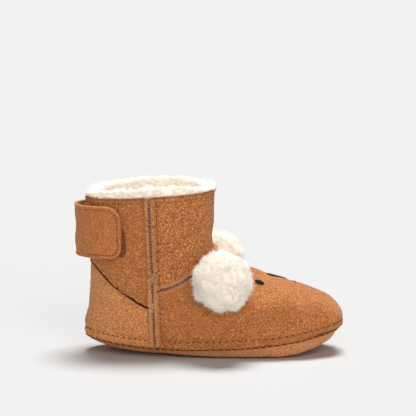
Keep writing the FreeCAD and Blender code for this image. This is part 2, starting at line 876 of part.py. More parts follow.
keep("strap_tab_stitch", tab_stitch())
keep("strap_anchor_stitch", strap_ribbon(A_ANCHOR + 0.05, A_ANCHOR + 0.3,
                                         lambda a, s: (strap_rim(a)[0] + strap_rim(a)[1]) / 2.0, 7))


def loop_path(s, v):
    z = LZ0 + 0.8 + (LZ1 - LZ0 - 1.6) * s
    a = phi_at_x(LX1 - 0.55 + TW * 0.8 * (v - 0.5), 0.75)
    return (-a, level_at_z(a, z))


keep("loop_patch_stitch", panel(loop_path, GAP + LOOP + GAP * 0.5 + TH, GAP + LOOP + GAP * 0.5, 7, 3))

doc.recompute()

# ---------------------------------------------------------------------------
# Check every piece and write it out.
# ---------------------------------------------------------------------------
for ob in doc.Objects:
    if "Invalid" in ob.State or "Error" in ob.State:
        raise RuntimeError("%s: %s" % (ob.Label, ob.State))
bad = []
for ob in made:
    s = ob.Shape
    note = []
    if s.isNull():
        note.append("null")
    else:
        if not s.isValid():
            note.append("not valid")
        if len(s.Solids) != 1:
            note.append("%d solids" % len(s.Solids))
        if s.Volume <= 0:
            note.append("volume %.3f" % s.Volume)
    b = s.BoundBox
    print("%-26s V=%9.1f  X %.1f..%.1f Y %.1f..%.1f Z %.1f..%.1f %s" % (
        ob.Label, s.Volume, b.XMin, b.XMax, b.YMin, b.YMax, b.ZMin, b.ZMax, " ".join(note)))
    if note:
        bad.append("%s (%s)" % (ob.Label, ", ".join(note)))
if bad:
    raise RuntimeError("bad pieces: " + "; ".join(bad))
os.makedirs("parts", exist_ok=True)
for ob in made:
    ob.Shape.exportStep("parts/%s.step" % ob.Label)
print("pieces: %d" % len(made))
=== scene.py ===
import math

import bpy
import numpy as np
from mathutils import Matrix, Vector
from mathutils.bvhtree import BVHTree


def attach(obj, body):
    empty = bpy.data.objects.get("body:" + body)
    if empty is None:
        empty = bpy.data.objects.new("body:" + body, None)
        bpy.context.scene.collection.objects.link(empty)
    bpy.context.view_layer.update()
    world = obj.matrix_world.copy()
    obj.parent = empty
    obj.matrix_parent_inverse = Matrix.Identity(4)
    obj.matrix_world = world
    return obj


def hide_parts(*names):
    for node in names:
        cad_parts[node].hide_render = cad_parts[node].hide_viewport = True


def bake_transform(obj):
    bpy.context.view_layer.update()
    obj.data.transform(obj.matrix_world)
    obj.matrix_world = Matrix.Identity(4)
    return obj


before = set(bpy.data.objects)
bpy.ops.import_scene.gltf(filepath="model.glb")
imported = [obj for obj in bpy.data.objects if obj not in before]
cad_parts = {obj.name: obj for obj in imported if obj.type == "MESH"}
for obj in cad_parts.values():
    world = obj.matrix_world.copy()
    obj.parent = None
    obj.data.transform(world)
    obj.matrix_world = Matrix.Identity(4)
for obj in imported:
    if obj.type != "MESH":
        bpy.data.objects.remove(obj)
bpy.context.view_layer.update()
rng = np.random.default_rng(7)

# ---------------------------------------------------------------------------
# The shell's surface: a stack of tilted ovals (millimetres, row frame).
# front x, front z, rear x, rear z, half width behind, before, squareness, sag, sag power, level
# ---------------------------------------------------------------------------
R = np.array([
    [65.6, 13.0, -61.3, 8.9, 24.3, 29.6, 2.55, 6.3, 2.4, 0.00],
    [67.2, 16.8, -62.0, 12.5, 24.9, 29.8, 2.50, 4.0, 2.4, 0.07],
    [66.6, 20.7, -61.6, 17.5, 25.1, 28.8, 2.45, 2.0, 2.3, 0.15],
    [60.8, 27.2, -60.4, 23.5, 25.0, 27.6, 2.38, 2.0, 2.2, 0.24],
    [45.8, 33.4, -59.6, 29.5, 24.6, 26.2, 2.32, 4.5, 2.1, 0.33],
    [29.2, 38.6, -59.0, 35.5, 24.3, 25.0, 2.32, 8.0, 2.0, 0.42],
    [12.0, 44.9, -58.9, 41.5, 24.0, 24.0, 2.36, 12.0, 1.9, 0.51],
    [3.0, 50.5, -59.0, 46.5, 23.8, 23.4, 2.45, 15.0, 1.85, 0.58],
    [1.8, 58.0, -60.5, 55.0, 23.7, 23.2, 2.55, 10.5, 1.9, 0.68],
    [1.9, 66.5, -61.5, 64.0, 23.8, 23.4, 2.60, 6.0, 2.0, 0.80],
    [2.3, 74.3, -61.9, 72.5, 24.0, 23.6, 2.60, 2.5, 2.0, 0.90],
    [3.1, 82.0, -60.9, 78.7, 24.2, 23.8, 2.60, 0.3, 2.0, 1.00]])
LV = R[:, 9]
THROAT = 0.58
PI = math.pi


def slopes(xs, ys):
    h = np.diff(xs)
    d = np.diff(ys) / h
    m = [d[0]]
    for i in range(1, len(h)):
        if d[i - 1] * d[i] <= 0:
            m.append(0.0)
        else:
            w1, w2 = 2 * h[i] + h[i - 1], h[i] + 2 * h[i - 1]
            m.append((w1 + w2) / (w1 / d[i - 1] + w2 / d[i]))
    m.append(d[-1])
    return np.array(m)


M = np.stack([slopes(LV, R[:, k]) for k in range(9)], 1)


def ring(t):
    t = np.asarray(t, float)
    tc = np.clip(t, LV[0], LV[-1])
    i = np.clip(np.searchsorted(LV, tc, "right") - 1, 0, len(LV) - 2)
    h = LV[i + 1] - LV[i]
    s = (tc - LV[i]) / h
    a, b = 2 * s**3 - 3 * s**2 + 1, s**3 - 2 * s**2 + s
    c, d = -2 * s**3 + 3 * s**2, s**3 - s**2
    v = (a[..., None] * R[i, :9] + (b * h)[..., None] * M[i]
         + c[..., None] * R[i + 1, :9] + (d * h)[..., None] * M[i + 1])
    return v + (t - tc)[..., None] * np.where((t < LV[0])[..., None], M[0], M[-1])


def shell(phi, t):
    phi, t = np.broadcast_arrays(np.asarray(phi, float), np.asarray(t, float))
    v = ring(t)
    fx, fz, bx, bz, wb, wf, n, sag, p = [v[..., k] for k in range(9)]
    c, s = np.cos(phi), np.sin(phi)
    r = 1 / (np.abs(c)**n + np.abs(s)**n)**(1 / n)
    u, w = r * c, r * s
    k = (u + 1) / 2
    k2 = k * k * (3 - 2 * k)
    return np.stack([(fx + bx) / 2 + (fx - bx) / 2 * u, (wb + (wf - wb) * k2) * w,
                     bz + (fz - bz) * k - sag * (1 - np.abs(u)**p)], -1)


def unit(v):
    return v / np.maximum(np.linalg.norm(v, axis=-1, keepdims=True), 1e-12)


def normal(phi, t):
    return unit(np.cross(shell(phi + 2e-3, t) - shell(phi - 2e-3, t), shell(phi, t + 2e-3) - shell(phi, t - 2e-3)))


def bisect(f, lo, hi, shape):
    lo, hi = np.full(shape, float(lo)), np.full(shape, float(hi))
    for _ in range(34):
        mid = (lo + hi) / 2
        g = f(mid)
        lo, hi = np.where(g, mid, lo), np.where(g, hi, mid)
    return (lo + hi) / 2


def seam_x(z):
    return -26.5 - 3.0 * (z - 5) / 75


_tt = np.linspace(-0.05, 1.15, 400)


def _seam_table(shift):
    def f(m):
        P = shell(m, _tt)
        return P[..., 0] > seam_x(P[..., 2]) + shift
    return bisect(f, 0.2, PI - 0.2, _tt.shape)


_seams = {}


def seam_phi(t, shift=0.0):
    """Angle of the side seam on the medial half at level t."""
    if shift not in _seams:
        _seams[shift] = _seam_table(shift)
    return np.interp(t, _tt, _seams[shift])


def phi_at_x(x0, t):
    t = np.asarray(t, float)
    x0, t = np.broadcast_arrays(np.asarray(x0, float), t)
    return bisect(lambda m: shell(m, t)[..., 0] > x0, 0, PI, t.shape)


def level_at_z(phi, z0, lo=-0.05, hi=1.15):
    phi, z0 = np.broadcast_arrays(np.asarray(phi, float), np.asarray(z0, float))
    return bisect(lambda m: shell(phi, m)[..., 2] < z0, lo, hi, phi.shape)


EX = np.array([-62.5, -59.0, -52.7, -46.7, -40.9, -35.2, -29.2, -25.0])
EZ = np.array([49.4, 48.0, 40.5, 35.4, 31.2, 27.4, 24.6, 22.7])


def edge_level(phi, shift):
    """Level of the heel panel's free edge at angle phi (any side)."""
    phi = np.abs((np.asarray(phi, float) + PI) % (2 * PI) - PI)

    def f(m):
        P = shell(phi, m)
        return P[..., 2] < np.interp(P[..., 0], EX, EZ) + shift * np.interp(P[..., 0], [-59, -46, -32], [2.1, 1.5, 1.1])
    return bisect(f, 0.02, 0.9, phi.shape)


# ---------------------------------------------------------------------------
# Smooth random fields made of waves
# ---------------------------------------------------------------------------
def field(P, size, seed, waves=18):
    g = np.random.default_rng(seed)
    k = unit(g.normal(size=(waves, 3))) * (2 * PI / (size * g.uniform(0.75, 1.5, waves)))[:, None]
    ph = g.uniform(0, 2 * PI, waves)
    return np.sin(P @ k.T + ph).sum(-1) * math.sqrt(2.0 / waves)


def smooth(k):
    k = np.clip(k, 0, 1)
    return k * k * (3 - 2 * k)


def soft(P):
    """Slow unevenness of the soft shell, shared by every piece on it."""
    return 0.30 * field(P, 26, 11) + 0.13 * field(P, 11, 12)


# ---------------------------------------------------------------------------
# Meshes
# ---------------------------------------------------------------------------
def mesh_object(name, V, quads=None, tris=None, smooth_shade=True):
    me = bpy.data.meshes.new(name)
    V = np.asarray(V, float) * 0.001
    q = np.zeros((0, 4), int) if quads is None else np.asarray(quads, int)
    t = np.zeros((0, 3), int) if tris is None else np.asarray(tris, int)
    me.vertices.add(len(V))
    me.vertices.foreach_set("co", V.astype(np.float32).ravel())
    me.loops.add(len(q) * 4 + len(t) * 3)
    me.loops.foreach_set("vertex_index", np.concatenate([q.ravel(), t.ravel()]).astype(np.int32))
    me.polygons.add(len(q) + len(t))
    starts = np.concatenate([np.arange(len(q)) * 4, len(q) * 4 + np.arange(len(t)) * 3])
    me.polygons.foreach_set("loop_start", starts.astype(np.int32))
    me.polygons.foreach_set("use_smooth", np.full(len(q) + len(t), smooth_shade))
    me.update(calc_edges=True)
    me.validate()
    ob = bpy.data.objects.new(name, me)
    bpy.context.collection.objects.link(ob)
    return ob


def grid_quads(ns, nv, base=0, flip=False, wrap=False):
    i = np.arange(ns if wrap else ns - 1)
    j = np.arange(nv - 1)
    I, J = np.meshgrid(i, j, indexing="ij")
    I2 = (I + 1) % ns
    a, b, c, d = I * nv + J, I2 * nv + J, I2 * nv + J + 1, I * nv + J + 1
    q = np.stack([a, b, c, d] if not flip else [a, d, c, b], -1).reshape(-1, 4)
    return q + base


def closed_slab(outer, inner, wrap=False):
    """Vertices and quads of the closed solid between two grids."""
    ns, nv = outer.shape[:2]
    V = np.concatenate([outer.reshape(-1, 3), inner.reshape(-1, 3)])
    k = ns * nv
    q = [grid_quads(ns, nv, 0, False, wrap), grid_quads(ns, nv, k, True, wrap)]
    i = np.arange(ns if wrap else ns - 1)
    i2 = (i + 1) % ns
    q.append(np.stack([i * nv, k + i * nv, k + i2 * nv, i2 * nv], -1))
    e = nv - 1
    q.append(np.stack([i * nv + e, i2 * nv + e, k + i2 * nv + e, k + i * nv + e], -1))
    if not wrap:
        j = np.arange(nv - 1)
        q.append(np.stack([j, j + 1, k + j + 1, k + j], -1))
        o = (ns - 1) * nv
        q.append(np.stack([o + j, k + o + j, k + o + j + 1, o + j + 1], -1))
    return V, np.concatenate(q)


def fix_normals(ob):
    """Faces of a closed mesh turned to the outside, judged by its volume."""
    me = ob.data
    n = len(me.vertices)
    co = np.zeros(n * 3, np.float32)
    me.vertices.foreach_get("co", co)
    co = co.reshape(-1, 3).astype(float)
    co -= co.mean(0)
    me.calc_loop_triangles()
    tv = np.zeros(len(me.loop_triangles) * 3, np.int32)
    me.loop_triangles.foreach_get("vertices", tv)
    tv = tv.reshape(-1, 3)
    vol = np.einsum("ij,ij->i", co[tv[:, 0]], np.cross(co[tv[:, 1]], co[tv[:, 2]])).sum()
    if vol < 0:
        me.flip_normals()
    return ob


def edge_spread(n, length, near=(0.12, 0.3, 0.55, 0.85, 1.2)):
    """Parameters 0..1 with a few extra ones close to both ends (in mm)."""
    a = np.linspace(0, 1, n)
    e = np.array(near) / length
    s = np.unique(np.round(np.concatenate([a, e, 1 - e]), 6))
    keep = np.concatenate([[True], np.diff(s) > 0.06 / length])
    s = s[keep]
    s[-1] = 1.0
    return s


def arc(P, axis):
    d = np.linalg.norm(np.diff(P, axis=axis), axis=-1)
    z = np.zeros_like(np.take(d, [0], axis=axis))
    return np.cumsum(np.concatenate([z, d], axis=axis), axis=axis)


def lip(e, r):
    """Drop that rounds an edge of radius r at distance e from it."""
    k = np.clip(1 - e / r, 0, 1)
    return r * (1 - np.sqrt(np.maximum(0, 1 - k * k)))


def panel(name, where, n_s, n_v, len_s, len_v, thick, height=None, base=0.0, r_edge=0.55, rim=(1, 1, 1, 1), soften=True):
    """One cut panel: where(s, v) gives angle and level; height(d) adds relief.
    rim says which of its four edges (s0, s1, v0, v1) are rounded."""
    s = edge_spread(n_s, len_s)
    v = edge_spread(n_v, len_v)
    S, Vv = np.meshgrid(s, v, indexing="ij")
    phi, t = where(S, Vv)
    P, N = shell(phi, t), normal(phi, t)
    ls, lv = arc(P, 0), arc(P, 1)
    d = {"s0": ls, "s1": ls[-1:] - ls, "v0": lv, "v1": lv[:, -1:] - lv, "P": P, "phi": phi, "t": t, "S": S, "V": Vv}
    h = np.zeros(P.shape[:2]) + base
    if soften:
        h = h + soft(P)
    relief = height(d) if height else 0.0
    drop = 0.0
    for k, on in zip(("s0", "s1", "v0", "v1"), rim):
        if on:
            drop = np.maximum(drop, lip(d[k], r_edge))
    outer = P + N * (h + relief - drop)[..., None]
    inner = P + N * (h + np.maximum(relief, -0.3) * 0.75 - thick + drop * 0.7)[..., None]
    V, Q = closed_slab(outer, inner)
    ob = mesh_object(name, V, Q)
    fix_normals(ob)
    ob["d"] = 0
    return ob, outer, N, d


def capsules(name, A, B, NRM, r, sides=6, caps=2, flat=1.0):
    """Many short rounded threads from A to B (n,3); NRM their outward side."""
    A, B, NRM = [np.asarray(x, float) for x in (A, B, NRM)]
    n = len(A)
    T = unit(B - A)
    X = unit(np.cross(T, NRM))
    Y = unit(np.cross(X, T))
    r = np.broadcast_to(np.asarray(r, float), (n,))
    rows = []
    for k in range(caps):
        g = (k + 0.35) / caps * PI / 2
        rows.append((0, -math.cos(g), math.sin(g)))
    rows.append((0.5, 0, 1.06))
    for k in range(caps)[::-1]:
        g = (k + 0.35) / caps * PI / 2
        rows.append((1, math.cos(g), math.sin(g)))
    V = []
    for f, c, w in rows:
        C = A + (B - A) * f + T * (c * r)[:, None]
        for j in range(sides):
            a = 2 * PI * j / sides
            V.append(C + (X * math.cos(a) + Y * (math.sin(a) * flat)) * (w * r)[:, None])
    V = np.stack(V, 1)
    m = V.shape[1]
    q = []
    for k in range(len(rows) - 1):
        for j in range(sides):
            j2 = (j + 1) % sides
            q.append([k * sides + j, k * sides + j2, (k + 1) * sides + j2, (k + 1) * sides + j])
    q = np.array(q)
    ends = []
    for j in range(1, sides - 1):
        ends.append([0, j + 1, j])
        o = (len(rows) - 1) * sides
        ends.append([o, o + j, o + j + 1])
    ends = np.array(ends)
    off = (np.arange(n) * m)[:, None, None]
    ob = mesh_object(name, V.reshape(-1, 3), (q[None] + off).reshape(-1, 4), (ends[None] + off).reshape(-1, 3))
    return fix_normals(ob)


def strands(name, roots, dirs, lengths, r0, bend, levels=3, extra=None):
    """Closed tapering fibres. bend (n,3) is added along the square of the way."""
    n = len(roots)
    X = unit(np.cross(dirs, rng.normal(size=(n, 3))))
    Y = unit(np.cross(dirs, X))
    V = []
    for k in range(levels):
        f = k / levels
        C = roots + dirs * (lengths * f)[:, None] + bend * (f * f)
        if extra is not None:
            C = C + extra * math.sin(f * 2.6 * PI)
        w = (r0 * (1 - 0.62 * f))[:, None]
        for j in range(3):
            a = 2 * PI * j / 3
            V.append(C + (X * math.cos(a) + Y * math.sin(a)) * w)
    tip = roots + dirs * lengths[:, None] + bend
    V.append(tip)
    V = np.stack(V, 1)
    m = V.shape[1]
    q, tr = [], [[0, 2, 1]]
    for k in range(levels - 1):
        for j in range(3):
            j2 = (j + 1) % 3
            q.append([k * 3 + j, k * 3 + j2, (k + 1) * 3 + j2, (k + 1) * 3 + j])
    o = (levels - 1) * 3
    for j in range(3):
        tr.append([o + j, o + (j + 1) % 3, m - 1])
    off = (np.arange(n) * m)[:, None, None]
    return mesh_object(name, V.reshape(-1, 3), (np.array(q)[None] + off).reshape(-1, 4),
                       (np.array(tr)[None] + off).reshape(-1, 3))


def join(name, obs):
    """Several meshes as one piece."""
    for o in bpy.context.selected_objects:
        o.select_set(False)
    for o in obs:
        o.select_set(True)
    bpy.context.view_layer.objects.active = obs[0]
    bpy.ops.object.join()
    obs[0].name = name
    obs[0].data.name = name
    obs[0].select_set(False)
    return obs[0]


# ---------------------------------------------------------------------------
# Materials
# ---------------------------------------------------------------------------
def lin(r, g, b):
    f = lambda c: c / 12.92 if c <= 0.04045 else ((c + 0.055) / 1.055)**2.4
    return (f(r / 255), f(g / 255), f(b / 255), 1.0)


def new_mat(name):
    m = bpy.data.materials.new(name)
    m.use_nodes = True
    nt = m.node_tree
    b = next(n for n in nt.nodes if n.type == "BSDF_PRINCIPLED")
    return m, nt, b


def suede(name, dark, mid, light, sheen=0.25, bump=0.5, fine=900.0, blotch=150.0, nap=0.00025):
    m, nt, b = new_mat(name)
    tc = nt.nodes.new("ShaderNodeTexCoord")
    n1 = nt.nodes.new("ShaderNodeTexNoise")
    n1.inputs["Scale"].default_value = fine
    n1.inputs["Detail"].default_value = 2.0
    n1.inputs["Roughness"].default_value = 0.65
    n2 = nt.nodes.new("ShaderNodeTexNoise")
    n2.inputs["Scale"].default_value = blotch
    n2.inputs["Detail"].default_value = 3.0
    for n in (n1, n2):
        nt.links.new(tc.outputs["Object"], n.inputs["Vector"])
    r1 = nt.nodes.new("ShaderNodeValToRGB")
    r1.color_ramp.elements[0].position = 0.30
    r1.color_ramp.elements[0].color = dark
    r1.color_ramp.elements[1].position = 0.72
    r1.color_ramp.elements[1].color = light
    e = r1.color_ramp.elements.new(0.5)
    e.color = mid
    nt.links.new(n1.outputs["Fac"], r1.inputs["Fac"])
    r2 = nt.nodes.new("ShaderNodeValToRGB")
    r2.color_ramp.elements[0].position = 0.3
    r2.color_ramp.elements[0].color = (0.86, 0.86, 0.86, 1)
    r2.color_ramp.elements[1].position = 0.7
    r2.color_ramp.elements[1].color = (1.0, 1.0, 1.0, 1)
    nt.links.new(n2.outputs["Fac"], r2.inputs["Fac"])
    mx = nt.nodes.new("ShaderNodeMix")
    mx.data_type = "RGBA"
    mx.blend_type = "MULTIPLY"
    mx.inputs["Factor"].default_value = 1.0
    nt.links.new(r1.outputs["Color"], mx.inputs[6])
    nt.links.new(r2.outputs["Color"], mx.inputs[7])
    nt.links.new(mx.outputs[2], b.inputs["Base Color"])
    bp = nt.nodes.new("ShaderNodeBump")
    bp.inputs["Strength"].default_value = bump
    bp.inputs["Distance"].default_value = nap
    nt.links.new(n1.outputs["Fac"], bp.inputs["Height"])
    nt.links.new(bp.outputs["Normal"], b.inputs["Normal"])
    b.inputs["Roughness"].default_value = 0.95
    b.inputs["Specular IOR Level"].default_value = 0.08
    b.inputs["Sheen Weight"].default_value = sheen
    b.inputs["Sheen Roughness"].default_value = 0.6
    b.inputs["Sheen Tint"].default_value = (1.0, 0.72, 0.5, 1)
    return m


def plain(name, color, rough=0.9, sheen=0.0, spec=0.1, tint=(1, 1, 1, 1)):
    m, nt, b = new_mat(name)
    b.inputs["Base Color"].default_value = color
    b.inputs["Roughness"].default_value = rough
    b.inputs["Specular IOR Level"].default_value = spec
    b.inputs["Sheen Weight"].default_value = sheen
    b.inputs["Sheen Roughness"].default_value = 0.5
    b.inputs["Sheen Tint"].default_value = tint
    return m


def nubby(name, dark, light, scale=700.0, bump=0.6, dist=0.0004, sheen=0.2):
    """Cloth with a small even grain, for the hook tape and the loop patch."""
    m, nt, b = new_mat(name)
    tc = nt.nodes.new("ShaderNodeTexCoord")
    n1 = nt.nodes.new("ShaderNodeTexNoise")
    n1.inputs["Scale"].default_value = scale
    n1.inputs["Detail"].default_value = 2.0
    nt.links.new(tc.outputs["Object"], n1.inputs["Vector"])
    r1 = nt.nodes.new("ShaderNodeValToRGB")
    r1.color_ramp.elements[0].position = 0.35
    r1.color_ramp.elements[0].color = dark
    r1.color_ramp.elements[1].position = 0.65
    r1.color_ramp.elements[1].color = light
    nt.links.new(n1.outputs["Fac"], r1.inputs["Fac"])
    nt.links.new(r1.outputs["Color"], b.inputs["Base Color"])
    bp = nt.nodes.new("ShaderNodeBump")
    bp.inputs["Strength"].default_value = bump
    bp.inputs["Distance"].default_value = dist
    nt.links.new(n1.outputs["Fac"], bp.inputs["Height"])
    nt.links.new(bp.outputs["Normal"], b.inputs["Normal"])
    b.inputs["Roughness"].default_value = 0.95
    b.inputs["Specular IOR Level"].default_value = 0.08
    b.inputs["Sheen Weight"].default_value = sheen
    return m


SUEDE = suede("suede_tan", lin(122, 66, 30), lin(175, 108, 60), lin(224, 154, 98), fine=1500.0, bump=0.55, blotch=260.0, nap=0.00022)
SUEDE_F = suede("suede_tan_grainy", lin(106, 56, 26), lin(178, 110, 62), lin(240, 170, 112), fine=1350.0, bump=0.8, blotch=260.0)
# lighter copy of the tan suede for the heel panel: painted light, the heel lit brighter than the quarters
SUEDE_HEEL_LIT = suede("suede_heel_painted_light", lin(148, 90, 48), lin(203, 135, 82), lin(248, 182, 124), fine=1500.0, bump=0.55, blotch=240.0, nap=0.00022)
STRAP_M = suede("suede_strap", lin(144, 82, 42), lin(184, 112, 62), lin(216, 146, 90), bump=0.4, fine=1500.0, nap=0.0002)
# sole suede: its own pinkish tan, lightened as painted light for the light bounced up from the floor
SOLE_SUEDE_LIT = suede("suede_sole_painted_bounce", lin(156, 96, 58), lin(202, 134, 86), lin(236, 170, 118), fine=1500.0, nap=0.0002)
# faint emission on the fleece ground, the fleece and pom-pom wool and the pom-pom ground below: painted light, a glow
# standing in for light scattered through the wool
FLEECE_G = plain("fleece_ground", lin(244, 235, 220), rough=1.0)
q_ = next(n for n in FLEECE_G.node_tree.nodes if n.type == "BSDF_PRINCIPLED")
q_.inputs["Emission Color"].default_value = (1.0, 0.95, 0.88, 1)
q_.inputs["Emission Strength"].default_value = 0.12
WOOL = plain("fleece_wool", lin(250, 244, 233), rough=1.0, sheen=0.1)
POM = plain("pompom_wool", lin(250, 245, 236), rough=1.0, sheen=0.1)
for m_, c_, e_ in ((WOOL, (1.0, 0.95, 0.88, 1), 0.15), (POM, (1.0, 0.96, 0.92, 1), 0.085)):
    q_ = next(n for n in m_.node_tree.nodes if n.type == "BSDF_PRINCIPLED")
    q_.inputs["Emission Color"].default_value = c_
    q_.inputs["Emission Strength"].default_value = e_
POM_G = plain("pompom_ground", lin(240, 232, 218), rough=1.0)
q_ = next(n for n in POM_G.node_tree.nodes if n.type == "BSDF_PRINCIPLED")
q_.inputs["Emission Color"].default_value = (1.0, 0.95, 0.88, 1)
q_.inputs["Emission Strength"].default_value = 0.10
THREAD = plain("thread_brown", lin(104, 62, 42), rough=0.8)
THREAD_D = plain("thread_dark", lin(66, 36, 27), rough=0.8)
THREAD_S = plain("thread_soft", lin(134, 84, 54), rough=0.85)
THREAD_P = plain("thread_plum", lin(176, 136, 120), rough=0.8)
TIE = plain("thread_tan", lin(170, 106, 62), rough=0.9)
BLACK = plain("thread_black", (0.008, 0.008, 0.009, 1), rough=0.6, spec=0.12)
HOOK = nubby("hook_tape", lin(104, 68, 48), lin(142, 98, 70), scale=1500.0)
# loop patch suede darkened: painted shade, the patch lying in the shadow of the strap's tab
LOOP_PATCH_SHADE = nubby("loop_patch", lin(78, 42, 22), lin(136, 82, 46), scale=1300.0)
# dark brown strip for the seams' recesses: painted shade
SEAM_RECESS_SHADE = plain("seam_recess_painted_shade", lin(102, 60, 42), rough=0.95)
# dark brown sheet behind the heel panel's free edge: painted shade of the gap
GAP_SHADE = plain("gap_painted_shade", lin(78, 44, 28), rough=0.95)
# pale raw-edge nap: partly its own pale colour, partly a painted highlight on the seam ridges
RIDGE_NAP_HIGHLIT = plain("suede_fuzz", lin(238, 180, 126), rough=0.95, sheen=0.15, tint=(1.0, 0.75, 0.55, 1))
FUZZ_R = plain("suede_fuzz_rim", lin(186, 118, 68), rough=0.95)


def paint(ob, mat):
    ob.data.materials.clear()
    ob.data.materials.append(mat)
    return ob


made = []


def piece(ob, mat, body=None, nodes=(), bend=None):
    """Gives a finished mesh its material, its CAD body and the nodes it shows."""
    if mat is not None:
        paint(ob, mat)
    if bend:
        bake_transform(ob)
    else:
        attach(ob, body)
    if nodes:
        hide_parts(*nodes)
    made.append(ob)
    return ob


# ---------------------------------------------------------------------------
# Panels of the shell
# ---------------------------------------------------------------------------
def ridge(d, amp=1.5, at=1.35, wide=0.95):
    """Raised raw edge beside a seam at distance d (mm)."""
    up = amp * np.exp(-((d - at) / wide)**2)
    return up * (0.35 + 0.65 * smooth(d / 0.7)) - 0.34 * np.exp(-((d - 3.2) / 0.6)**2)


def pinch(along, pitch=3.1, k=0.22, ph=0.0):
    return 1 - k + k * np.cos(2 * PI * along / pitch + ph)


def between(p0, p1):
    return lambda S: p0 + (p1 - p0) * S


WELT = 3.8


def hem_relief(dv, along, P):
    """Band between the sole seam and the stitch row: gathered and puckered."""
    a = along + 0.55 * dv
    band = smooth(dv / 0.8) * (1 - smooth((dv - 3.0) / 1.2))
    puck = 0.22 * np.sin(2 * PI * a / 3.5 + 1.3 * field(P, 20, 31)) + 0.12 * np.sin(2 * PI * a / 1.9 + field(P, 9, 32))
    fold = 0.45 * np.exp(-((dv - 1.9) / 1.2)**2)
    groove = -0.55 * np.exp(-((dv - WELT) / 0.62)**2) * (0.7 + 0.3 * np.cos(2 * PI * along / 3.5))
    swell = 0.35 * np.exp(-((dv - WELT - 2.4) / 1.7)**2)
    pull = -0.30 * np.exp(-((dv - WELT) / 2.6)**2) * (0.5 + 0.5 * np.cos(2 * PI * along / 3.5)) * (dv > WELT)
    return band * puck + fold + groove + swell + pull


def vamp_where(S, V):
    t = 0.004 + (THROAT - 0.004 - 0.0035) * V
    p = seam_phi(t, 0.28)
    return -p + 2 * p * S, t


def vamp_relief(d):
    P = d["P"]
    side = np.minimum(d["s0"], d["s1"])
    up = ridge(side) * pinch(d["v0"], 3.2) * smooth((d["v0"] - 1.0) / 3.0)
    top = ridge(d["v1"], amp=1.35) * pinch(d["s0"], 3.2, ph=1.0)
    along = d["s0"]
    grain = 0.06 * field(P, 2.6, 41) + 0.05 * field(P, 1.5, 42)
    up = up + 0.55 * np.exp(-((side - 2.0) / 1.5)**2 - ((d["v1"] - 1.2) / 1.6)**2)
    creases = 0.16 * np.sin(2 * PI * (P[..., 0] * 0.35 + P[..., 2] * 0.9) / 9.0 + 1.5 * field(P, 22, 43)) \
        * smooth((18 - np.abs(P[..., 0] + 8)) / 20)
    toe = smooth((P[..., 0] - 40) / 18)
    toe_pucker = 0.14 * toe * np.sin(2 * PI * along / 5.2 + field(P, 12, 44)) * np.exp(-((d["v0"] - 7) / 5)**2)
    return np.maximum(up, top) + hem_relief(d["v0"], along, P) + grain + creases + toe_pucker


NV = 1.0
vamp, vamp_out, vamp_n, vamp_d = panel("vamp_panel", vamp_where, int(400 * NV), int(90 * NV), 215, 46, 1.3, vamp_relief)
piece(vamp, SUEDE, "bootie", ["vamp_panel"])


def heel_where(S, V):
    t = np.full(S.shape, 0.2)
    phi = np.full(S.shape, PI)
    for _ in range(14):
        p = seam_phi(t, -0.28)
        phi = p + (2 * PI - 2 * p) * S
        t = t + (0.004 + (edge_level(phi, -0.58) - 0.004) * V - t) * 0.6
    return phi, t


def heel_relief(d):
    P = d["P"]
    side = np.minimum(d["s0"], d["s1"])
    up = ridge(side) * pinch(d["v0"], 3.2) * smooth((d["v0"] - 1.0) / 3.0)
    e = d["v1"]
    edge = 0.45 * np.exp(-(e / 0.9)**2) - 0.3 * np.exp(-((e - 1.7) / 0.45)**2) * pinch(d["s0"], 2.6, 0.3)
    grain = 0.06 * field(P, 2.6, 51) + 0.035 * field(P, 1.5, 52)
    slump = 0.2 * np.sin(2 * PI * (P[..., 2] + 0.25 * P[..., 0]) / 11 + field(P, 20, 53))
    return up + edge + hem_relief(d["v0"], d["s0"], P) + grain + slump * 0.6


heel, heel_out, heel_n, heel_d = panel("heel_counter_panel", heel_where, int(240 * NV), int(70 * NV), 105, 30, 1.3, heel_relief)


# dark strip tucked under the heel panel's free edge: painted shade of the gap between heel panel and quarter
def gap_shade_where(S, V):
    t = np.full(S.shape, 0.2)
    phi = np.full(S.shape, PI)
    for _ in range(14):
        p = seam_phi(t, -0.6)
        phi = p + (2 * PI - 2 * p) * S
        lo_, hi_ = edge_level(phi, -3.2), edge_level(phi, 0.7)
        t = t + (lo_ + (hi_ - lo_) * V - t) * 0.6
    return phi, t


Sf, Vf = np.meshgrid(np.linspace(0, 1, 160), np.linspace(0, 1, 7), indexing="ij")
pf, tf = gap_shade_where(Sf, Vf)
Pf, Nf = shell(pf, tf), normal(pf, tf)
Vv_, Qf = closed_slab(Pf + Nf * (soft(Pf) - 1.20)[..., None], Pf + Nf * (soft(Pf) - 1.42)[..., None])
strip = paint(fix_normals(mesh_object("heel_gap_painted_shade", Vv_, Qf)), GAP_SHADE)
# the heel panel gets the lighter tan: painted light, as if lit more than the quarters
paint(heel, SUEDE_HEEL_LIT)
piece(join("heel_counter_panel", [heel, strip]), None, "bootie", ["heel_counter_panel"])


def front_where(S, V):
    t = THROAT + 0.0015 + (1.0 - THROAT - 0.0015) * V
    p = seam_phi(t, 0.28)
    return -p + 2 * p * S, t


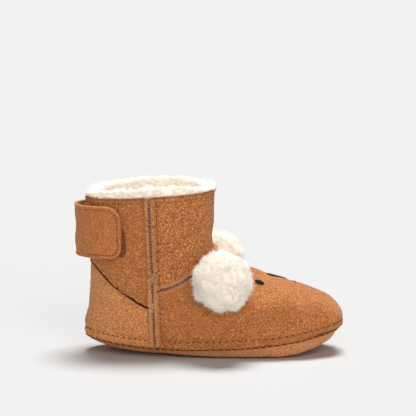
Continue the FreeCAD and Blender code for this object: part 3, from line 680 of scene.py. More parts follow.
def front_relief(d):
    P = d["P"]
    side = np.minimum(d["s0"], d["s1"])
    up = ridge(side) * pinch(d["v0"], 3.2)
    low = ridge(d["v0"], amp=1.5) * pinch(d["s0"], 3.2)
    e = d["v1"]
    rim = -0.22 * np.exp(-((e - 2.5) / 0.5)**2) * pinch(d["s0"], 3.0, 0.3) + 0.18 * np.exp(-((e - 0.9) / 0.9)**2)
    grain = 0.09 * field(P, 2.4, 61) + 0.07 * field(P, 1.4, 62)
    rim = rim + 0.6 * np.exp(-(side / 1.8)**2 - (e / 2.2)**2)
    wave = 0.22 * field(P, 15, 63)
    return np.maximum(up, low) + rim + grain + wave


front, front_out, front_n, front_d = panel("shaft_front_panel", front_where, int(300 * NV), int(110 * NV), 88, 42, 1.3,
                                           front_relief)
piece(front, SUEDE_F, "bootie", ["shaft_front_panel"])

HINGE_Y = 24.2


def flap_bend(side):
    """The flap's bodies and two points spanning the 9 mm behind the side seam."""
    body = "lateral_flap" if side < 0 else "medial_flap"
    return ("bootie", body, (-0.0287, side * 0.0242, 0.052), (-0.0385, side * 0.0242, 0.052))


def quarter_where(side, top=1.0, lift=0.58, shift=-0.28, slit=0.45, sink=0.0):
    def where(S, V):
        t = np.full(S.shape, 0.7)
        phi = np.full(S.shape, 2.0)
        hi = top - sink * smooth((S - 0.55) / 0.4)
        for _ in range(14):
            p = seam_phi(t, shift)
            phi = p + (PI - slit / 24.0 - p) * S
            low = edge_level(phi, lift)
            t = t + (low + (hi - low) * V - t) * 0.6
        return side * phi, t
    return where


def quarter_relief(d):
    P = d["P"]
    up = ridge(d["s0"]) * pinch(d["v0"], 3.2)
    e = d["v1"]
    rim = -0.22 * np.exp(-((e - 2.5) / 0.5)**2) * pinch(d["s0"], 3.0, 0.3) + 0.18 * np.exp(-((e - 0.9) / 0.9)**2)
    low = 0.35 * np.exp(-(d["v0"] / 1.4)**2)
    grain = 0.065 * field(P, 2.6, 71) + 0.05 * field(P, 1.5, 72)
    rim = rim + 0.6 * np.exp(-(d["s0"] / 1.8)**2 - (e / 2.2)**2)
    wave = 0.25 * field(P, 17, 73)
    slack = 0.35 * np.exp(-((P[..., 2] - 44) / 7)**2) * smooth((-40 - P[..., 0]) / 12)
    return up + rim + low + grain + wave + slack


quarters = {}
for side, word in ((-1, "lateral"), (1, "medial")):
    q, qo, qn, qd = panel(word + "_quarter_panel", quarter_where(side), int(150 * NV), int(150 * NV), 46, 56, 1.3,
                          quarter_relief)
    quarters[word] = (qo, qn, qd)
    piece(q, SUEDE, None, [word + "_quarter_panel"], bend=flap_bend(side))


# ---------------------------------------------------------------------------
# Sole
# ---------------------------------------------------------------------------
def plan_normal(phi):
    d = shell(phi + 1e-3, 0.0) - shell(phi - 1e-3, 0.0)
    k = np.hypot(d[..., 0], d[..., 1])
    return d[..., 1] / k, -d[..., 0] / k


LIFT_X = [-62.0, -59.0, -55.0, -49.0, -39.0, -24.0, -4.0, 16.0, 36.0, 46.0, 51.0, 56.0, 61.0, 64.5, 66.0]
LIFT_Z = [8.0, 7.3, 6.3, 5.2, 3.8, 3.0, 1.8, 0.9, 1.0, 2.3, 3.7, 5.2, 7.8, 9.8, 11.0]


def flat_outline(phi):
    c, s = np.cos(phi), np.sin(phi)
    r = 1 / (np.abs(c)**2.2 + np.abs(s)**2.2)**(1 / 2.2)
    return 4.0 + 42.0 * r * c, 7.5 * r * s


def sole_point(phi, w, thick=0.0, extra=0.0):
    """w 0 at the seam, 1 where the sole lies flat; thick moves inside."""
    phi, w = np.broadcast_arrays(np.asarray(phi, float), np.asarray(w, float))
    P = shell(phi, np.zeros(phi.shape))
    gx, gy = flat_outline(phi)
    span = np.hypot(gx - P[..., 0], gy - P[..., 1])
    dx, dy = (gx - P[..., 0]) / span, (gy - P[..., 1]) / span
    d = span * w
    low = np.minimum(np.interp(P[..., 0], LIFT_X, LIFT_Z), P[..., 2] - 0.6)
    k = smooth(d / 3.4)
    z = (P[..., 2] - low) * (1 - k) + low * np.clip(1 - w, 0, 1)**1.5
    if thick > 0:
        z = z + np.where(w < 1, thick * k, thick)
        d = thick + d * (span - thick + 1.0) / span
    d = d + extra
    return np.stack([P[..., 0] + dx * d, P[..., 1] + dy * d, z], -1)


def build_sole():
    n = int(420 * NV)
    f = np.linspace(0, 2 * PI, n + 1)[:-1]
    w = np.concatenate([[0, 0.008, 0.018, 0.03, 0.045, 0.063, 0.084, 0.108, 0.135, 0.165, 0.2, 0.24], np.linspace(0.29, 1, int(16 * NV))])
    F, W = np.meshgrid(f, w, indexing="ij")
    P = sole_point(F, W)
    e = 1e-3
    N = -unit(np.cross(sole_point(F + e, W) - sole_point(F - e, W), sole_point(F, W + e) - sole_point(F, W - e)))
    if N[0, 3, 0] < 0:
        N = -N
    lw = arc(P, 1)
    ls = arc(P, 0)[:, :1]
    along = np.broadcast_to(ls, lw.shape)
    near = np.exp(-(lw / 2.2)**2)
    h = 0.35 * np.exp(-((lw - 1.1) / 0.9)**2) * (0.75 + 0.25 * np.cos(2 * PI * along / 3.5)) \
        + near * 0.15 * np.sin(2 * PI * along / 1.8 + field(P, 9, 81)) + soft(P) * 0.6 * smooth(W * 6) * (1 - W)
    h = h - lip(lw, 0.5)
    h = h * (1 - smooth((W - 0.75) / 0.25)) + 0.05 * field(P, 2.6, 82) * (1 - W)
    O = P + N * h[..., None]
    O[..., 2] = np.maximum(O[..., 2], 0.0)
    O[:, -1, 2] = 0.0
    I = sole_point(F, W, 1.5)
    I[..., 2] = np.minimum(I[..., 2], O[..., 2] + 30)
    m = len(w)
    V = [O.reshape(-1, 3), I.reshape(-1, 3)]
    k = n * m
    q = [grid_quads(n, m, 0, False, True), grid_quads(n, m, k, True, True)]
    i = np.arange(n)
    i2 = (i + 1) % n
    q.append(np.stack([i * m, k + i * m, k + i2 * m, i2 * m], -1))
    # flat middle: rings drawn in towards the centre line
    tris = []
    base = 2 * k
    for level, grid, flip in ((0.0, O, False), (1.5, I, True)):
        src = grid[:, -1]
        prev = (i * m + m - 1) + (k if flip else 0)
        for r in (0.85, 0.65, 0.4, 0.15):
            ctr = np.stack([src[:, 0] * 0.75, src[:, 1] * 0, np.full(n, level)], -1)
            new = ctr + (src - ctr) * r
            new[:, 2] = level
            V.append(new)
            cur = base + i
            nx_ = base + i2
            pn = np.roll(prev, -1)
            q.append(np.stack([prev, pn, nx_, cur] if not flip else [prev, cur, nx_, pn], -1))
            prev = cur
            base += n
        # close the slot along the centre line by pairing mirror points
        half = n // 2
        a = np.arange(0, half)
        cur = prev
        left, right = cur[a], cur[(n - a) % n]
        l2, r2 = cur[a + 1], cur[(n - a - 1) % n]
        good = np.arange(1, half - 1)
        qq = np.stack([left[good], l2[good], r2[good], right[good]], -1)
        q.append(qq if not flip else qq[:, ::-1])
        t1 = np.array([[cur[0], cur[1], cur[n - 1]], [cur[half - 1], cur[half], cur[(n - half + 1) % n]]])
        tris.append(t1 if not flip else t1[:, ::-1])
    ob = mesh_object("sole_panel", np.concatenate(V), np.concatenate(q), np.concatenate(tris))
    fix_normals(ob)
    return ob, O, N


sole, sole_out, sole_nrm = build_sole()
piece(sole, SOLE_SUEDE_LIT, "bootie", ["sole_panel"])


# ---------------------------------------------------------------------------
# Threads
# ---------------------------------------------------------------------------
def resample(path, pitch, start=0.0, stop=None):
    """Positions along a dense polyline at even spacing."""
    d = np.concatenate([[0], np.cumsum(np.linalg.norm(np.diff(path, axis=0), axis=1))])
    stop = d[-1] if stop is None else stop
    s = np.arange(start, stop, pitch)
    return s, d


def along(path, d, s):
    return np.stack([np.interp(s, d, path[:, k]) for k in range(path.shape[1])], -1)


def stitch_row(name, P, N, pitch, length, r, sink=0.1, tilt=0.0, jitter=0.12, start=None, flat=0.8):
    """Single stitches laid along path P with outward normals N."""
    g = np.random.default_rng(sum(map(ord, name)))
    s, d = resample(P, pitch, pitch * 0.5 if start is None else start)
    s = s + g.normal(size=len(s)) * jitter
    s = np.clip(s, length * 0.5, d[-1] - length * 0.5)
    n = unit(along(N, d, s))
    a, b = along(P, d, s - length / 2), along(P, d, s + length / 2)
    c = along(P, d, s)
    t = unit(b - a)
    side = np.cross(n, t)
    half = (length / 2 - r)
    a = c - t * half - side * tilt
    b = c + t * half + side * tilt
    k = (r - sink)
    return capsules(name, a + n * k, b + n * k, n, r, flat=flat)


def on_panel(out, d, key, dist):
    """Curve on a built panel at a set distance from one of its edges."""
    D = d[key]
    ns, nv = D.shape
    if key in ("v0", "v1"):
        pts = []
        for i in range(ns):
            row = D[i]
            o = np.argsort(row)
            pts.append([np.interp(dist, row[o], out[i, o, k]) for k in range(3)])
        return np.array(pts)
    pts = []
    for j in range(nv):
        col = D[:, j]
        o = np.argsort(col)
        pts.append([np.interp(dist, col[o], out[o, j, k]) for k in range(3)])
    return np.array(pts)


def norm_on(nrm, d, key, dist):
    return unit(on_panel(nrm, d, key, dist))


# stitch row above the sole seam: vamp and heel
w1 = on_panel(vamp_out, vamp_d, "v0", WELT)
w2 = on_panel(heel_out, heel_d, "v0", WELT)
a1 = stitch_row("welt_a", w1, norm_on(vamp_n, vamp_d, "v0", WELT), 3.5, 1.15, 0.30, sink=0.16)
a2 = stitch_row("welt_b", w2, norm_on(heel_n, heel_d, "v0", WELT), 3.0, 1.2, 0.30, sink=0.16)
piece(join("welt_stitch_row", [a1, a2]), THREAD, "bootie", ["welt_stitch_row"])

# sole seam: a dark line bridged by whip stitches; the strip under them is painted shade of the seam's recess
f = np.linspace(-PI, PI, 900)
S0 = shell(f, np.zeros(900))
NX, NY = plan_normal(f)
SN = np.stack([NX, NY, np.zeros(900)], -1)
low = sole_point(f, np.full(900, 0.008))
up = shell(f, np.full(900, 0.004))
mid = (low + up) / 2
strip_o = np.stack([low - SN * 0.25, mid - SN * 0.05, up - SN * 0.25], 1)
strip_o[:, 0, 2] -= 0.25
strip_o[:, 2, 2] += 0.25
strip_i = strip_o - SN[:, None] * 0.9
V, Q = closed_slab(strip_o[:-1], strip_i[:-1], wrap=True)
groove = fix_normals(mesh_object("sole_seam_recess_shade", V, Q))
sp = mid + SN * 0.3
s, d = resample(sp, 3.5, 0.6)
c = along(sp, d, s)
nn = unit(along(SN, d, s))
tt = unit(along(sp, d, np.minimum(s + 0.3, d[-1])) - along(sp, d, np.maximum(s - 0.3, 0)))
upv = unit(np.cross(nn, tt))
upv[upv[:, 2] < 0] *= -1
ga = capsules("whip_tan", c - upv * 0.42 - tt * 0.22, c + upv * 0.46 + tt * 0.22, nn, 0.36, flat=0.75)
paint(ga, TIE)
s2 = s[:-1] + 1.75
c2 = along(sp - SN * 0.1, d, s2)
n2 = unit(along(SN, d, s2))
t2 = unit(along(sp, d, s2 + 0.3) - along(sp, d, s2 - 0.3))
gb = capsules("dash_dark", c2 - t2 * 0.95, c2 + t2 * 0.95, n2, 0.25, flat=0.8)
paint(gb, THREAD_D)
paint(groove, SEAM_RECESS_SHADE)
piece(join("sole_seam_thread", [gb, ga, groove]), None, "bootie", ["sole_seam_thread"])

# heel panel's free edge
he = on_panel(heel_out, heel_d, "v1", 1.7)
keepm = (he[:, 0] < -31)
piece(stitch_row("heel_edge_stitch", he[keepm], norm_on(heel_n, heel_d, "v1", 1.7)[keepm], 2.6, 1.2, 0.16, sink=0.08),
      FUZZ_R, "bootie", ["heel_edge_stitch"])

# collar rows
ce = on_panel(front_out, front_d, "v1", 2.5)
cn = norm_on(front_n, front_d, "v1", 2.5)


def rim_nap(out, nrm, d, m, seed, lo=1.0):
    """Short nap on the raw edge of the rim."""
    g = np.random.default_rng(seed)
    obs = []
    for dist in (0.05, 0.5):
        path, pn = on_panel(out, d, "v1", dist), norm_on(nrm, d, "v1", dist)
        _, dl = resample(path, 1.0)
        k = int(m * NV)
        q = g.uniform(lo, dl[-1] - lo, k)
        A, Nn = along(path, dl, q), unit(along(pn, dl, q))
        dr = unit(Nn + np.array([0, 0, 0.9 if dist < 0.2 else 0.1]) + g.normal(size=(k, 3)) * 0.5)
        obs.append(paint(strands("rim_nap", A - Nn * 0.15, dr, g.uniform(0.35, 0.75, k), g.uniform(0.07, 0.12, k),
                                 g.normal(size=(k, 3)) * 0.15, levels=2), FUZZ_R))
    return obs


row = paint(stitch_row("collar_stitch_front", ce[8:-8], cn[8:-8], 3.0, 1.6, 0.22, sink=0.1), THREAD_S)
piece(join("collar_stitch_front", [row] + rim_nap(front_out, front_n, front_d, 1500, 901)), None, "bootie",
      ["collar_stitch_front"])
for side, word in ((-1, "lateral"), (1, "medial")):
    qo, qn, qd = quarters[word]
    ce = on_panel(qo, qd, "v1", 2.5)
    cn = norm_on(qn, qd, "v1", 2.5)
    m = qd["s0"][:, -1] > 3.5
    ob = paint(stitch_row("collar_stitch_" + word, ce[m], cn[m], 3.0, 1.6, 0.22, sink=0.1), THREAD_S)
    ob = join("collar_stitch_" + word, [ob] + rim_nap(qo, qn, qd, 850, 905 + side))
    piece(ob, None, None, ["collar_stitch_" + word], bend=flap_bend(side))

# side seams: plum zigzag in the valley, dark row beside the front ridge
for side, word in ((-1, "lateral"), (1, "medial")):
    key = "s0" if side < 0 else "s1"
    t = np.linspace(0.02, 0.992, 600)
    P = shell(side * seam_phi(t, 0.0), t)
    N = normal(side * seam_phi(t, 0.0), t)
    P = P + N * (soft(P) + 1.0)[..., None]
    s, d = resample(P, 1.5, 0.8)
    c, n = along(P, d, s), unit(along(N, d, s))
    tg = unit(along(P, d, np.minimum(s + 0.4, d[-1])) - along(P, d, np.maximum(s - 0.4, 0)))
    sd = np.cross(n, tg)
    sign = np.where(np.arange(len(s)) % 2 == 0, 1, -1)[:, None]
    zz = capsules("zig", c - sd * 0.8 - tg * 0.5 * sign, c + sd * 0.8 + tg * 0.5 * sign, n, 0.27)
    paint(zz, THREAD_P)
    # dark strip in the valley: painted shade of the seam's recess
    W = np.stack([shell(side * seam_phi(t, x), t) for x in (-1.0, 0.0, 1.0)], 1)
    WN = np.stack([normal(side * seam_phi(t, x), t) for x in (-1.0, 0.0, 1.0)], 1)
    so = W + WN * (soft(W) + 0.25)[..., None]
    si = W + WN * (soft(W) - 0.9)[..., None]
    V, Q = closed_slab(so, si)
    bk = fix_normals(mesh_object("valley", V, Q))
    paint(bk, SEAM_RECESS_SHADE)
    # stitch row at the foot of the front ridge
    r1 = on_panel(vamp_out, vamp_d, key, 3.2)
    n1 = norm_on(vamp_n, vamp_d, key, 3.2)
    r2 = on_panel(front_out, front_d, key, 3.2)
    n2 = norm_on(front_n, front_d, key, 3.2)
    m1 = vamp_d["v0"][0] > 5.0
    st1 = stitch_row("side_row_a" + word, r1[m1], n1[m1], 2.3, 1.5, 0.2, sink=0.08)
    st2 = stitch_row("side_row_b" + word, r2[6:], n2[6:], 2.3, 1.5, 0.2, sink=0.08)
    for o in (st1, st2):
        paint(o, THREAD)
    # raw edges of the suede: short pale nap on both ridges, made lighter still as a painted highlight on the ridge tops
    g = np.random.default_rng(500 + side)
    parts = []
    for sgn, lo_t in ((1, 0.02), (-1, 0.02)):
        m = int(5600 * NV)
        tt = g.uniform(lo_t, 0.992, m)
        xo = sgn * np.clip(1.5 + g.normal(size=m) * 0.4, 0.8, 2.5)
        ph = side * np.array([0.0] * m)
        base_phi = seam_phi(tt, 0.0)
        A = shell(side * base_phi, tt)
        along_x = shell(side * seam_phi(tt, 1.0), tt) - A
        A = A + along_x * xo[:, None]
        Nn = normal(side * base_phi, tt)
        top = 1.5 * np.exp(-((np.abs(xo) - 1.6) / 0.95)**2)
        A = A + Nn * (soft(A) + top * 0.75 - 0.1)[:, None]
        dr = unit(Nn + unit(along_x) * (-0.35 * sgn) + g.normal(size=(m, 3)) * 0.5)
        parts.append(paint(strands("nap", A, dr, g.uniform(0.5, 1.0, m), g.uniform(0.09, 0.15, m),
                                   g.normal(size=(m, 3)) * 0.2, levels=2), RIDGE_NAP_HIGHLIT))
    # wool of the lining showing between the stitches
    tufts_ = []
    for zc, zr, m in ((40.3, 2.4, 46), (25.4, 2.2, 46)):
        zz_ = g.uniform(zc - zr, zc + zr, m)
        tz = level_at_z(side * seam_phi(np.full(m, 0.45), 0.0), zz_, 0.0, 1.0)
        A = shell(side * seam_phi(tz, 0.0), tz)
        Nn = normal(side * seam_phi(tz, 0.0), tz)
        A = A + Nn * (soft(A) + 0.5)[:, None] + np.array([1.0, 0, 0]) * (g.normal(size=m) * 0.25)[:, None]
        tufts_.append(paint(strands("peek", A, unit(Nn + g.normal(size=(m, 3)) * 0.5), g.uniform(0.5, 0.9, m),
                                    g.uniform(0.08, 0.13, m), g.normal(size=(m, 3)) * 0.2, levels=2), WOOL))
    ob = join("side_seam_thread_" + word, [zz, bk, st1, st2] + parts + tufts_)
    piece(ob, None, "bootie", ["side_seam_thread_" + word])

# instep seam
t0 = THROAT
p0 = float(seam_phi(np.array(t0), 1.2))
f = np.linspace(-p0, p0, 500)
P = shell(f, np.full(500, t0))
N = normal(f, np.full(500, t0))
Pz = P + N * (soft(P) + 0.95)[..., None]
s, d = resample(Pz, 1.6, 0.8)
c, n = along(Pz, d, s), unit(along(N, d, s))
tg = unit(along(Pz, d, np.minimum(s + 0.4, d[-1])) - along(Pz, d, np.maximum(s - 0.4, 0)))
sd = np.cross(n, tg)
sign = np.where(np.arange(len(s)) % 2 == 0, 1, -1)[:, None]
zz = paint(capsules("zig_i", c - sd * 0.7 - tg * 0.5 * sign, c + sd * 0.7 + tg * 0.5 * sign, n, 0.24), THREAD_P)
# dark strip in the instep seam's valley: painted shade of the recess
W = np.stack([shell(f, np.full(500, t0 + x)) for x in (-0.012, 0.0, 0.008)], 1)
WN = np.stack([normal(f, np.full(500, t0 + x)) for x in (-0.012, 0.0, 0.008)], 1)
V, Q = closed_slab(W + WN * (soft(W) + 0.2)[..., None], W + WN * (soft(W) - 0.9)[..., None])
bk = paint(fix_normals(mesh_object("valley_i", V, Q)), SEAM_RECESS_SHADE)
g = np.random.default_rng(606)
parts = []
# pale nap on the instep seam's ridges: partly raw-edge colour, partly painted highlight
for key_, src, nn0, dd0, amt in (("v0", front_out, front_n, front_d, 6500), ("v1", vamp_out, vamp_n, vamp_d, 3200)):
    for dist in (0.9, 1.5, 2.1):
        path = on_panel(src, dd0, key_, dist)
        pn = norm_on(nn0, dd0, key_, dist)
        m = int(amt / 3 * NV)
        _, dl = resample(path, 1.0)
        q = g.uniform(2.0, dl[-1] - 2.0, m)
        A, Nn = along(path, dl, q), unit(along(pn, dl, q))
        parts.append(paint(strands("nap_i", A - Nn * 0.1, unit(Nn + g.normal(size=(m, 3)) * 0.5), g.uniform(0.5, 1.0, m),
                                   g.uniform(0.10, 0.16, m), g.normal(size=(m, 3)) * 0.2, levels=2), RIDGE_NAP_HIGHLIT))
piece(join("instep_seam_thread", [zz, bk] + parts), None, "bootie", ["instep_seam_thread"])

# ---------------------------------------------------------------------------
# Fleece
# ---------------------------------------------------------------------------
RISE = 3.6 / 77.0


def fleece_panel(name, where, ns, nv, nodes, body=None, bend=None, out=-1.45, inn=-6.2, lump=0.28, top=False):
    S, V = np.meshgrid(np.linspace(0, 1, ns), np.linspace(0, 1, nv), indexing="ij")
    phi, t = where(S, V)
    P, N = shell(phi, t), normal(phi, t)
    h = soft(P)
    lm = lump * field(P, 4.2, 91) + 0.16 * field(P, 2.2, 92)
    eo = np.full(S.shape, float(out))
    ei = np.full(S.shape, float(inn)) - lm
    if top:
        mm = (t - 1.0) * 77.0
        rise_ = np.maximum((t[:, -1:] - 1.0) * 77.0, 0.8)
        over = smooth((mm + 0.3) / 1.6)
        eo = eo + over * (1.0 + 0.4 * field(P, 4.5, 93))
        rnd = smooth((mm / rise_ - 0.35) / 0.65)
        mid = (eo + ei) / 2
        eo = eo + (mid - eo) * rnd * 0.8
        ei = ei + (mid - ei) * rnd * 0.8
        P = P + np.array([0, 0, 1.0]) * (smooth((mm - 0.5) / 3) * 0.7 * field(P, 6.0, 94))[..., None]
    O = P + N * (h + eo)[..., None]
    I = P + N * (h + ei)[..., None]
    V_, Q = closed_slab(O, I)
    ob = fix_normals(mesh_object(name, V_, Q))
    paint(ob, FLEECE_G)
    return ob


def tufts(name, where, n, seed, body, bend=None, t_low=0.90):
    """Short curly wool on the lining's upper band: inside, crown and outer rim."""
    g = np.random.default_rng(seed)
    s = g.uniform(0.0, 1.0, n)
    kind = g.uniform(0, 1, n)
    phi, t_top = where(s, np.full(n, 0.9995))
    tt_ = np.empty(n)
    dd = np.empty(n)
    tilt = np.empty(n)
    inside = kind < 0.50
    crown = (kind >= 0.50) & (kind < 0.80)
    outer = kind >= 0.80
    k = g.uniform(0, 1, n)
    tt_[inside] = (t_low + (t_top - 0.006 - t_low) * k)[inside]
    dd[inside] = -6.0
    tilt[inside] = -1.0
    tt_[crown] = (t_top - 0.007)[crown]
    dd[crown] = (-5.4 + 4.4 * k)[crown]
    tilt[crown] = (-0.5 + 1.2 * k)[crown]
    tt_[outer] = (1.010 + np.maximum(t_top - 0.004 - 1.010, 0.0) * k)[outer]
    dd[outer] = -0.75
    tilt[outer] = 1.0
    P, N = shell(phi, tt_), normal(phi, tt_)
    lm = 0.35 * field(P, 4.2, seed + 5, 12)
    root = P + N * (dd + soft(P) + lm * np.sign(tilt))[:, None]
    up = np.array([0, 0, 1.0])
    updir = np.where(crown, 1.0, np.where(outer, 1.2, 0.3))
    cell = np.stack([field(P, 2.8, seed + j, 10) for j in (1, 2, 3)], -1)
    d = unit(N * tilt[:, None] + up * updir[:, None] + g.normal(size=(n, 3)) * 0.55 + cell * 0.45)
    L = g.uniform(0.8, 1.6, n)
    curl = unit(g.normal(size=(n, 3))) * 0.55 + cell * 0.3
    curl[:, 2] -= 0.15
    ob = strands(name, root, d, L, g.uniform(0.10, 0.17, n), curl, levels=2)
    paint(ob, WOOL)
    return ob


def fleece_where(base_where, lo=0.0):
    return base_where


def ff_where(S, V):
    a_ = np.abs(2 * S - 1) * 1.85
    hi = 1.0 + RISE * (1.0 - 0.80 * (1 - smooth((a_ - 0.45) / 0.95)))
    t = THROAT + 0.002 + (hi - THROAT - 0.002) * V
    p = seam_phi(t, 0.04)
    return -p + 2 * p * S, t


K = 1.0
g1 = fleece_panel("ff_ground", ff_where, 120, 60, ["shaft_front_fleece"], top=True)
g2 = tufts("ff_tufts", ff_where, int(15500 * K), 101, "bootie")
piece(join("shaft_front_fleece", [g1, g2]), None, "bootie", ["shaft_front_fleece"])
for side, word in ((-1, "lateral"), (1, "medial")):
    qw = quarter_where(side, top=1.0 + RISE, lift=1.0, shift=-0.04, slit=0.45, sink=RISE * 0.62)
    g1 = fleece_panel("q_ground", qw, 80, 60, [], top=True)
    g2 = tufts("q_tufts", qw, int(12500 * K), 110 + side, None)
    piece(join(word + "_quarter_fleece", [g1, g2]), None, None, [word + "_quarter_fleece"],
          bend=flap_bend(side))


def vf_where(S, V):
    t = 0.03 + (THROAT - 0.006 - 0.03) * V
    p = seam_phi(t, 0.2)
    return -p + 2 * p * S, t


def hf_where(S, V):
    t = np.full(S.shape, 0.2)
    phi = np.full(S.shape, PI)
    for _ in range(14):
        p = seam_phi(t, -0.2)
        phi = p + (2 * PI - 2 * p) * S
        t = t + (0.03 + (edge_level(phi, -3.4) - 0.03) * V - t) * 0.6
    return phi, t


piece(fleece_panel("vamp_fleece", vf_where, 160, 50, []), None, "bootie", ["vamp_fleece"])
piece(fleece_panel("heel_counter_fleece", hf_where, 100, 36, []), None, "bootie", ["heel_counter_fleece"])


def build_footbed():
    n, m = 200, 26
    f = np.linspace(0, 2 * PI, n + 1)[:-1]
    r = np.linspace(0, 1, m)
    nx, ny = plan_normal(f)
    base = shell(f, np.zeros(n))
    c = np.cos(f)
    wz = bisect(lambda m: sole_point(f, m, 1.5)[..., 2] > 5.8, 0, 1, f.shape)
    edge = sole_point(f, wz, 1.5, 0.9)
    edge[:, 2] = 5.2
    low = sole_point(f, np.ones(n), 1.5, 0.9)
    low[:, 2] = 1.6
    V, q = [], []
    ctr = np.array([0.0, 0, 5.4])
    for k in range(m):
        g = edge * (1 - r[k] * 0.985) + np.stack([edge[:, 0] * 0.8, edge[:, 1] * 0, edge[:, 2]], -1) * r[k] * 0.985
        g[:, 2] = 5.2 + 0.9 * smooth(r[k] * 6) + 0.35 * field(g, 6, 121)
        V.append(g)
    V.append(low)
    for r_ in (0.7, 0.35, 0.05):
        g = np.stack([low[:, 0] * 0.8, low[:, 1] * 0, low[:, 2]], -1)
        V.append(g + (low - g) * r_)
    G = np.stack(V, 1)
    # order: underside middle .. underside edge .. top edge .. top middle
    G = np.concatenate([G[:, m + 3:m - 1:-1], G[:, :m]], 1)
    ns, nv = G.shape[:2]
    Q = grid_quads(ns, nv, 0, False, True)
    half = n // 2
    tr = []
    for col, fl in ((0, False), (nv - 1, True)):
        cur = np.arange(n) * nv + col
        for a in range(1, half - 1):
            qd = [cur[a], cur[a + 1], cur[n - a - 1], cur[n - a]]
            Q = np.concatenate([Q, [qd if not fl else qd[::-1]]])
        t1 = [[cur[0], cur[1], cur[n - 1]], [cur[half - 1], cur[half], cur[n - half + 1]]]
        tr += t1 if not fl else [x[::-1] for x in t1]
    ob = mesh_object("footbed_fleece", G.reshape(-1, 3), Q, tr)
    return fix_normals(ob)


piece(build_footbed(), FLEECE_G, "bootie", ["footbed_fleece"])

# ---------------------------------------------------------------------------
# Strap
# ---------------------------------------------------------------------------
T_MID = 0.8
A_TAB = float(2 * PI - phi_at_x(-42.4, T_MID))
A_FOLD_L = float(2 * PI - phi_at_x(-58.6, T_MID))
A_FOLD_M = float(phi_at_x(-56.5, T_MID))
A_ANCHOR = float(phi_at_x(-44.0, T_MID))


def strap_off(a):
    a = np.asarray(a, float)
    tab, back = 2.45, 3.9
    r1 = tab + 0.5 * smooth(1 - (a - A_FOLD_L) / (A_TAB - A_FOLD_L) * 1.6)
    r2 = back + (tab + 0.5 - back) * smooth((a - PI) / (A_FOLD_L - PI))
    r3 = 2.0 + (back - 2.0) * smooth((a - A_FOLD_M) / (PI - A_FOLD_M))
    r4 = 0.12 + (2.0 - 0.12) * smooth((a - A_ANCHOR) / (A_FOLD_M - A_ANCHOR) * 1.5 - 0.5)
    return np.where(a >= A_FOLD_L, r1, np.where(a >= PI, r2, np.where(a >= A_FOLD_M, r3, r4)))


def strap_rim(a):
    k = (a - A_ANCHOR) / (A_TAB - A_ANCHOR)
    return 48.2 + 2.0 * k, 73.6 + 2.4 * k


_aa = np.linspace(A_ANCHOR - 0.1, A_TAB + 0.15, 900)
_tm = level_at_z(_aa, np.full(900, 62.0))
_pm = shell(_aa, _tm) + normal(_aa, _tm) * (strap_off(_aa) + 1.0)[:, None]
_sm = np.concatenate([[0], np.cumsum(np.linalg.norm(np.diff(_pm, axis=0), axis=1))])


def a_of_mm(x):
    return np.interp(x, _sm, _aa)


def mm_of_a(a):
    return np.interp(a, _aa, _sm)


S_TAB, S_ANC, S_MID = mm_of_a(A_TAB), mm_of_a(A_ANCHOR), mm_of_a((PI + A_FOLD_M) / 2 + 0.25)
S_FL, S_FM = mm_of_a(A_FOLD_L), mm_of_a(A_FOLD_M)


def strap_surface(x, k, dist):
    """x mm along the strap, k 0..1 up its height, dist mm out of its inner face."""
    a = a_of_mm(x)
    lo, hi = strap_rim(a)
    z = lo + (hi - lo) * k
    t = level_at_z(a, z, 0.4, 1.1)
    P, N = shell(a, t), normal(a, t)
    N = unit(N * np.array([1, 1, 0.25]))
    P0 = shell(a, level_at_z(a, np.full(a.shape, 62.0), 0.4, 1.1))
    # the strap stays straighter up and down than the shell behind it
    Pm = P.copy()
    Pm[..., :2] = P[..., :2] * 0.35 + P0[..., :2] * 0.65
    wob = 0.25 * field(P, 17, 131) + 0.1 * field(P, 7, 132)
    return Pm + N * (strap_off(a) + dist + wob)[..., None], N


def strap_piece(name, x0, x1, nx, nk, thick=1.6, round_end=0.0, r_low=0.0, inset=0.0, base=0.0, rim=(1, 1)):
    s = edge_spread(nx, x1 - x0)
    k = edge_spread(nk, 26.0)
    S, K_ = np.meshgrid(s, k, indexing="ij")
    X = x0 + (x1 - x0) * S
    left = x1 - X
    cut_t = np.where(left < round_end, round_end - np.sqrt(np.maximum(0, round_end**2 - (round_end - left)**2)), 0) \
        if round_end > 0 else 0 * X
    cut_b = np.where(left < r_low, r_low - np.sqrt(np.maximum(0, r_low**2 - (r_low - left)**2)), 0) \
        if r_low > 0 else 0 * X
    h = 25.6
    lo_k, hi_k = (cut_b + inset) / h, 1 - (cut_t + inset) / h
    KK = lo_k + (hi_k - lo_k) * K_
    # nearest distance to the outline
    e_up, e_dn = (hi_k - KK) * h, (KK - lo_k) * h
    e_end = left if rim[1] else np.full(X.shape, 9.0)
    e_sta = (X - x0) if rim[0] else np.full(X.shape, 9.0)
    if round_end > 0:
        cx, cy = x1 - round_end, h - inset - round_end
        yy = KK * h
        corner = (X > cx) & (yy > cy)
        e_c = round_end - np.hypot(X - cx, yy - cy)
        e_end = np.where(corner, e_c, e_end)
        e_up = np.where(corner, e_c, e_up)
    if r_low > 0:
        cx, cy = x1 - r_low, inset + r_low
        yy = KK * h
        corner = (X > cx) & (yy < cy)
        e_c = r_low - np.hypot(X - cx, yy - cy)
        e_end = np.where(corner, e_c, e_end)
        e_dn = np.where(corner, e_c, e_dn)
    e = np.minimum(np.minimum(e_up, e_dn), np.minimum(e_end, e_sta))
    e = np.maximum(e, 0)
    row = -0.22 * np.exp(-((e - 1.8) / 0.4)**2)
    puff = 0.18 * np.exp(-((e - 0.8) / 0.6)**2)
    O, N = strap_surface(X, KK, base + thick - lip(e, 0.6) + row + puff)
    I, _ = strap_surface(X, KK, base + lip(e, 0.5) * 0.8)
    V, Q = closed_slab(O, I)
    ob = fix_normals(mesh_object(name, V, Q))
    return ob, O, N, {"e": e, "X": X}


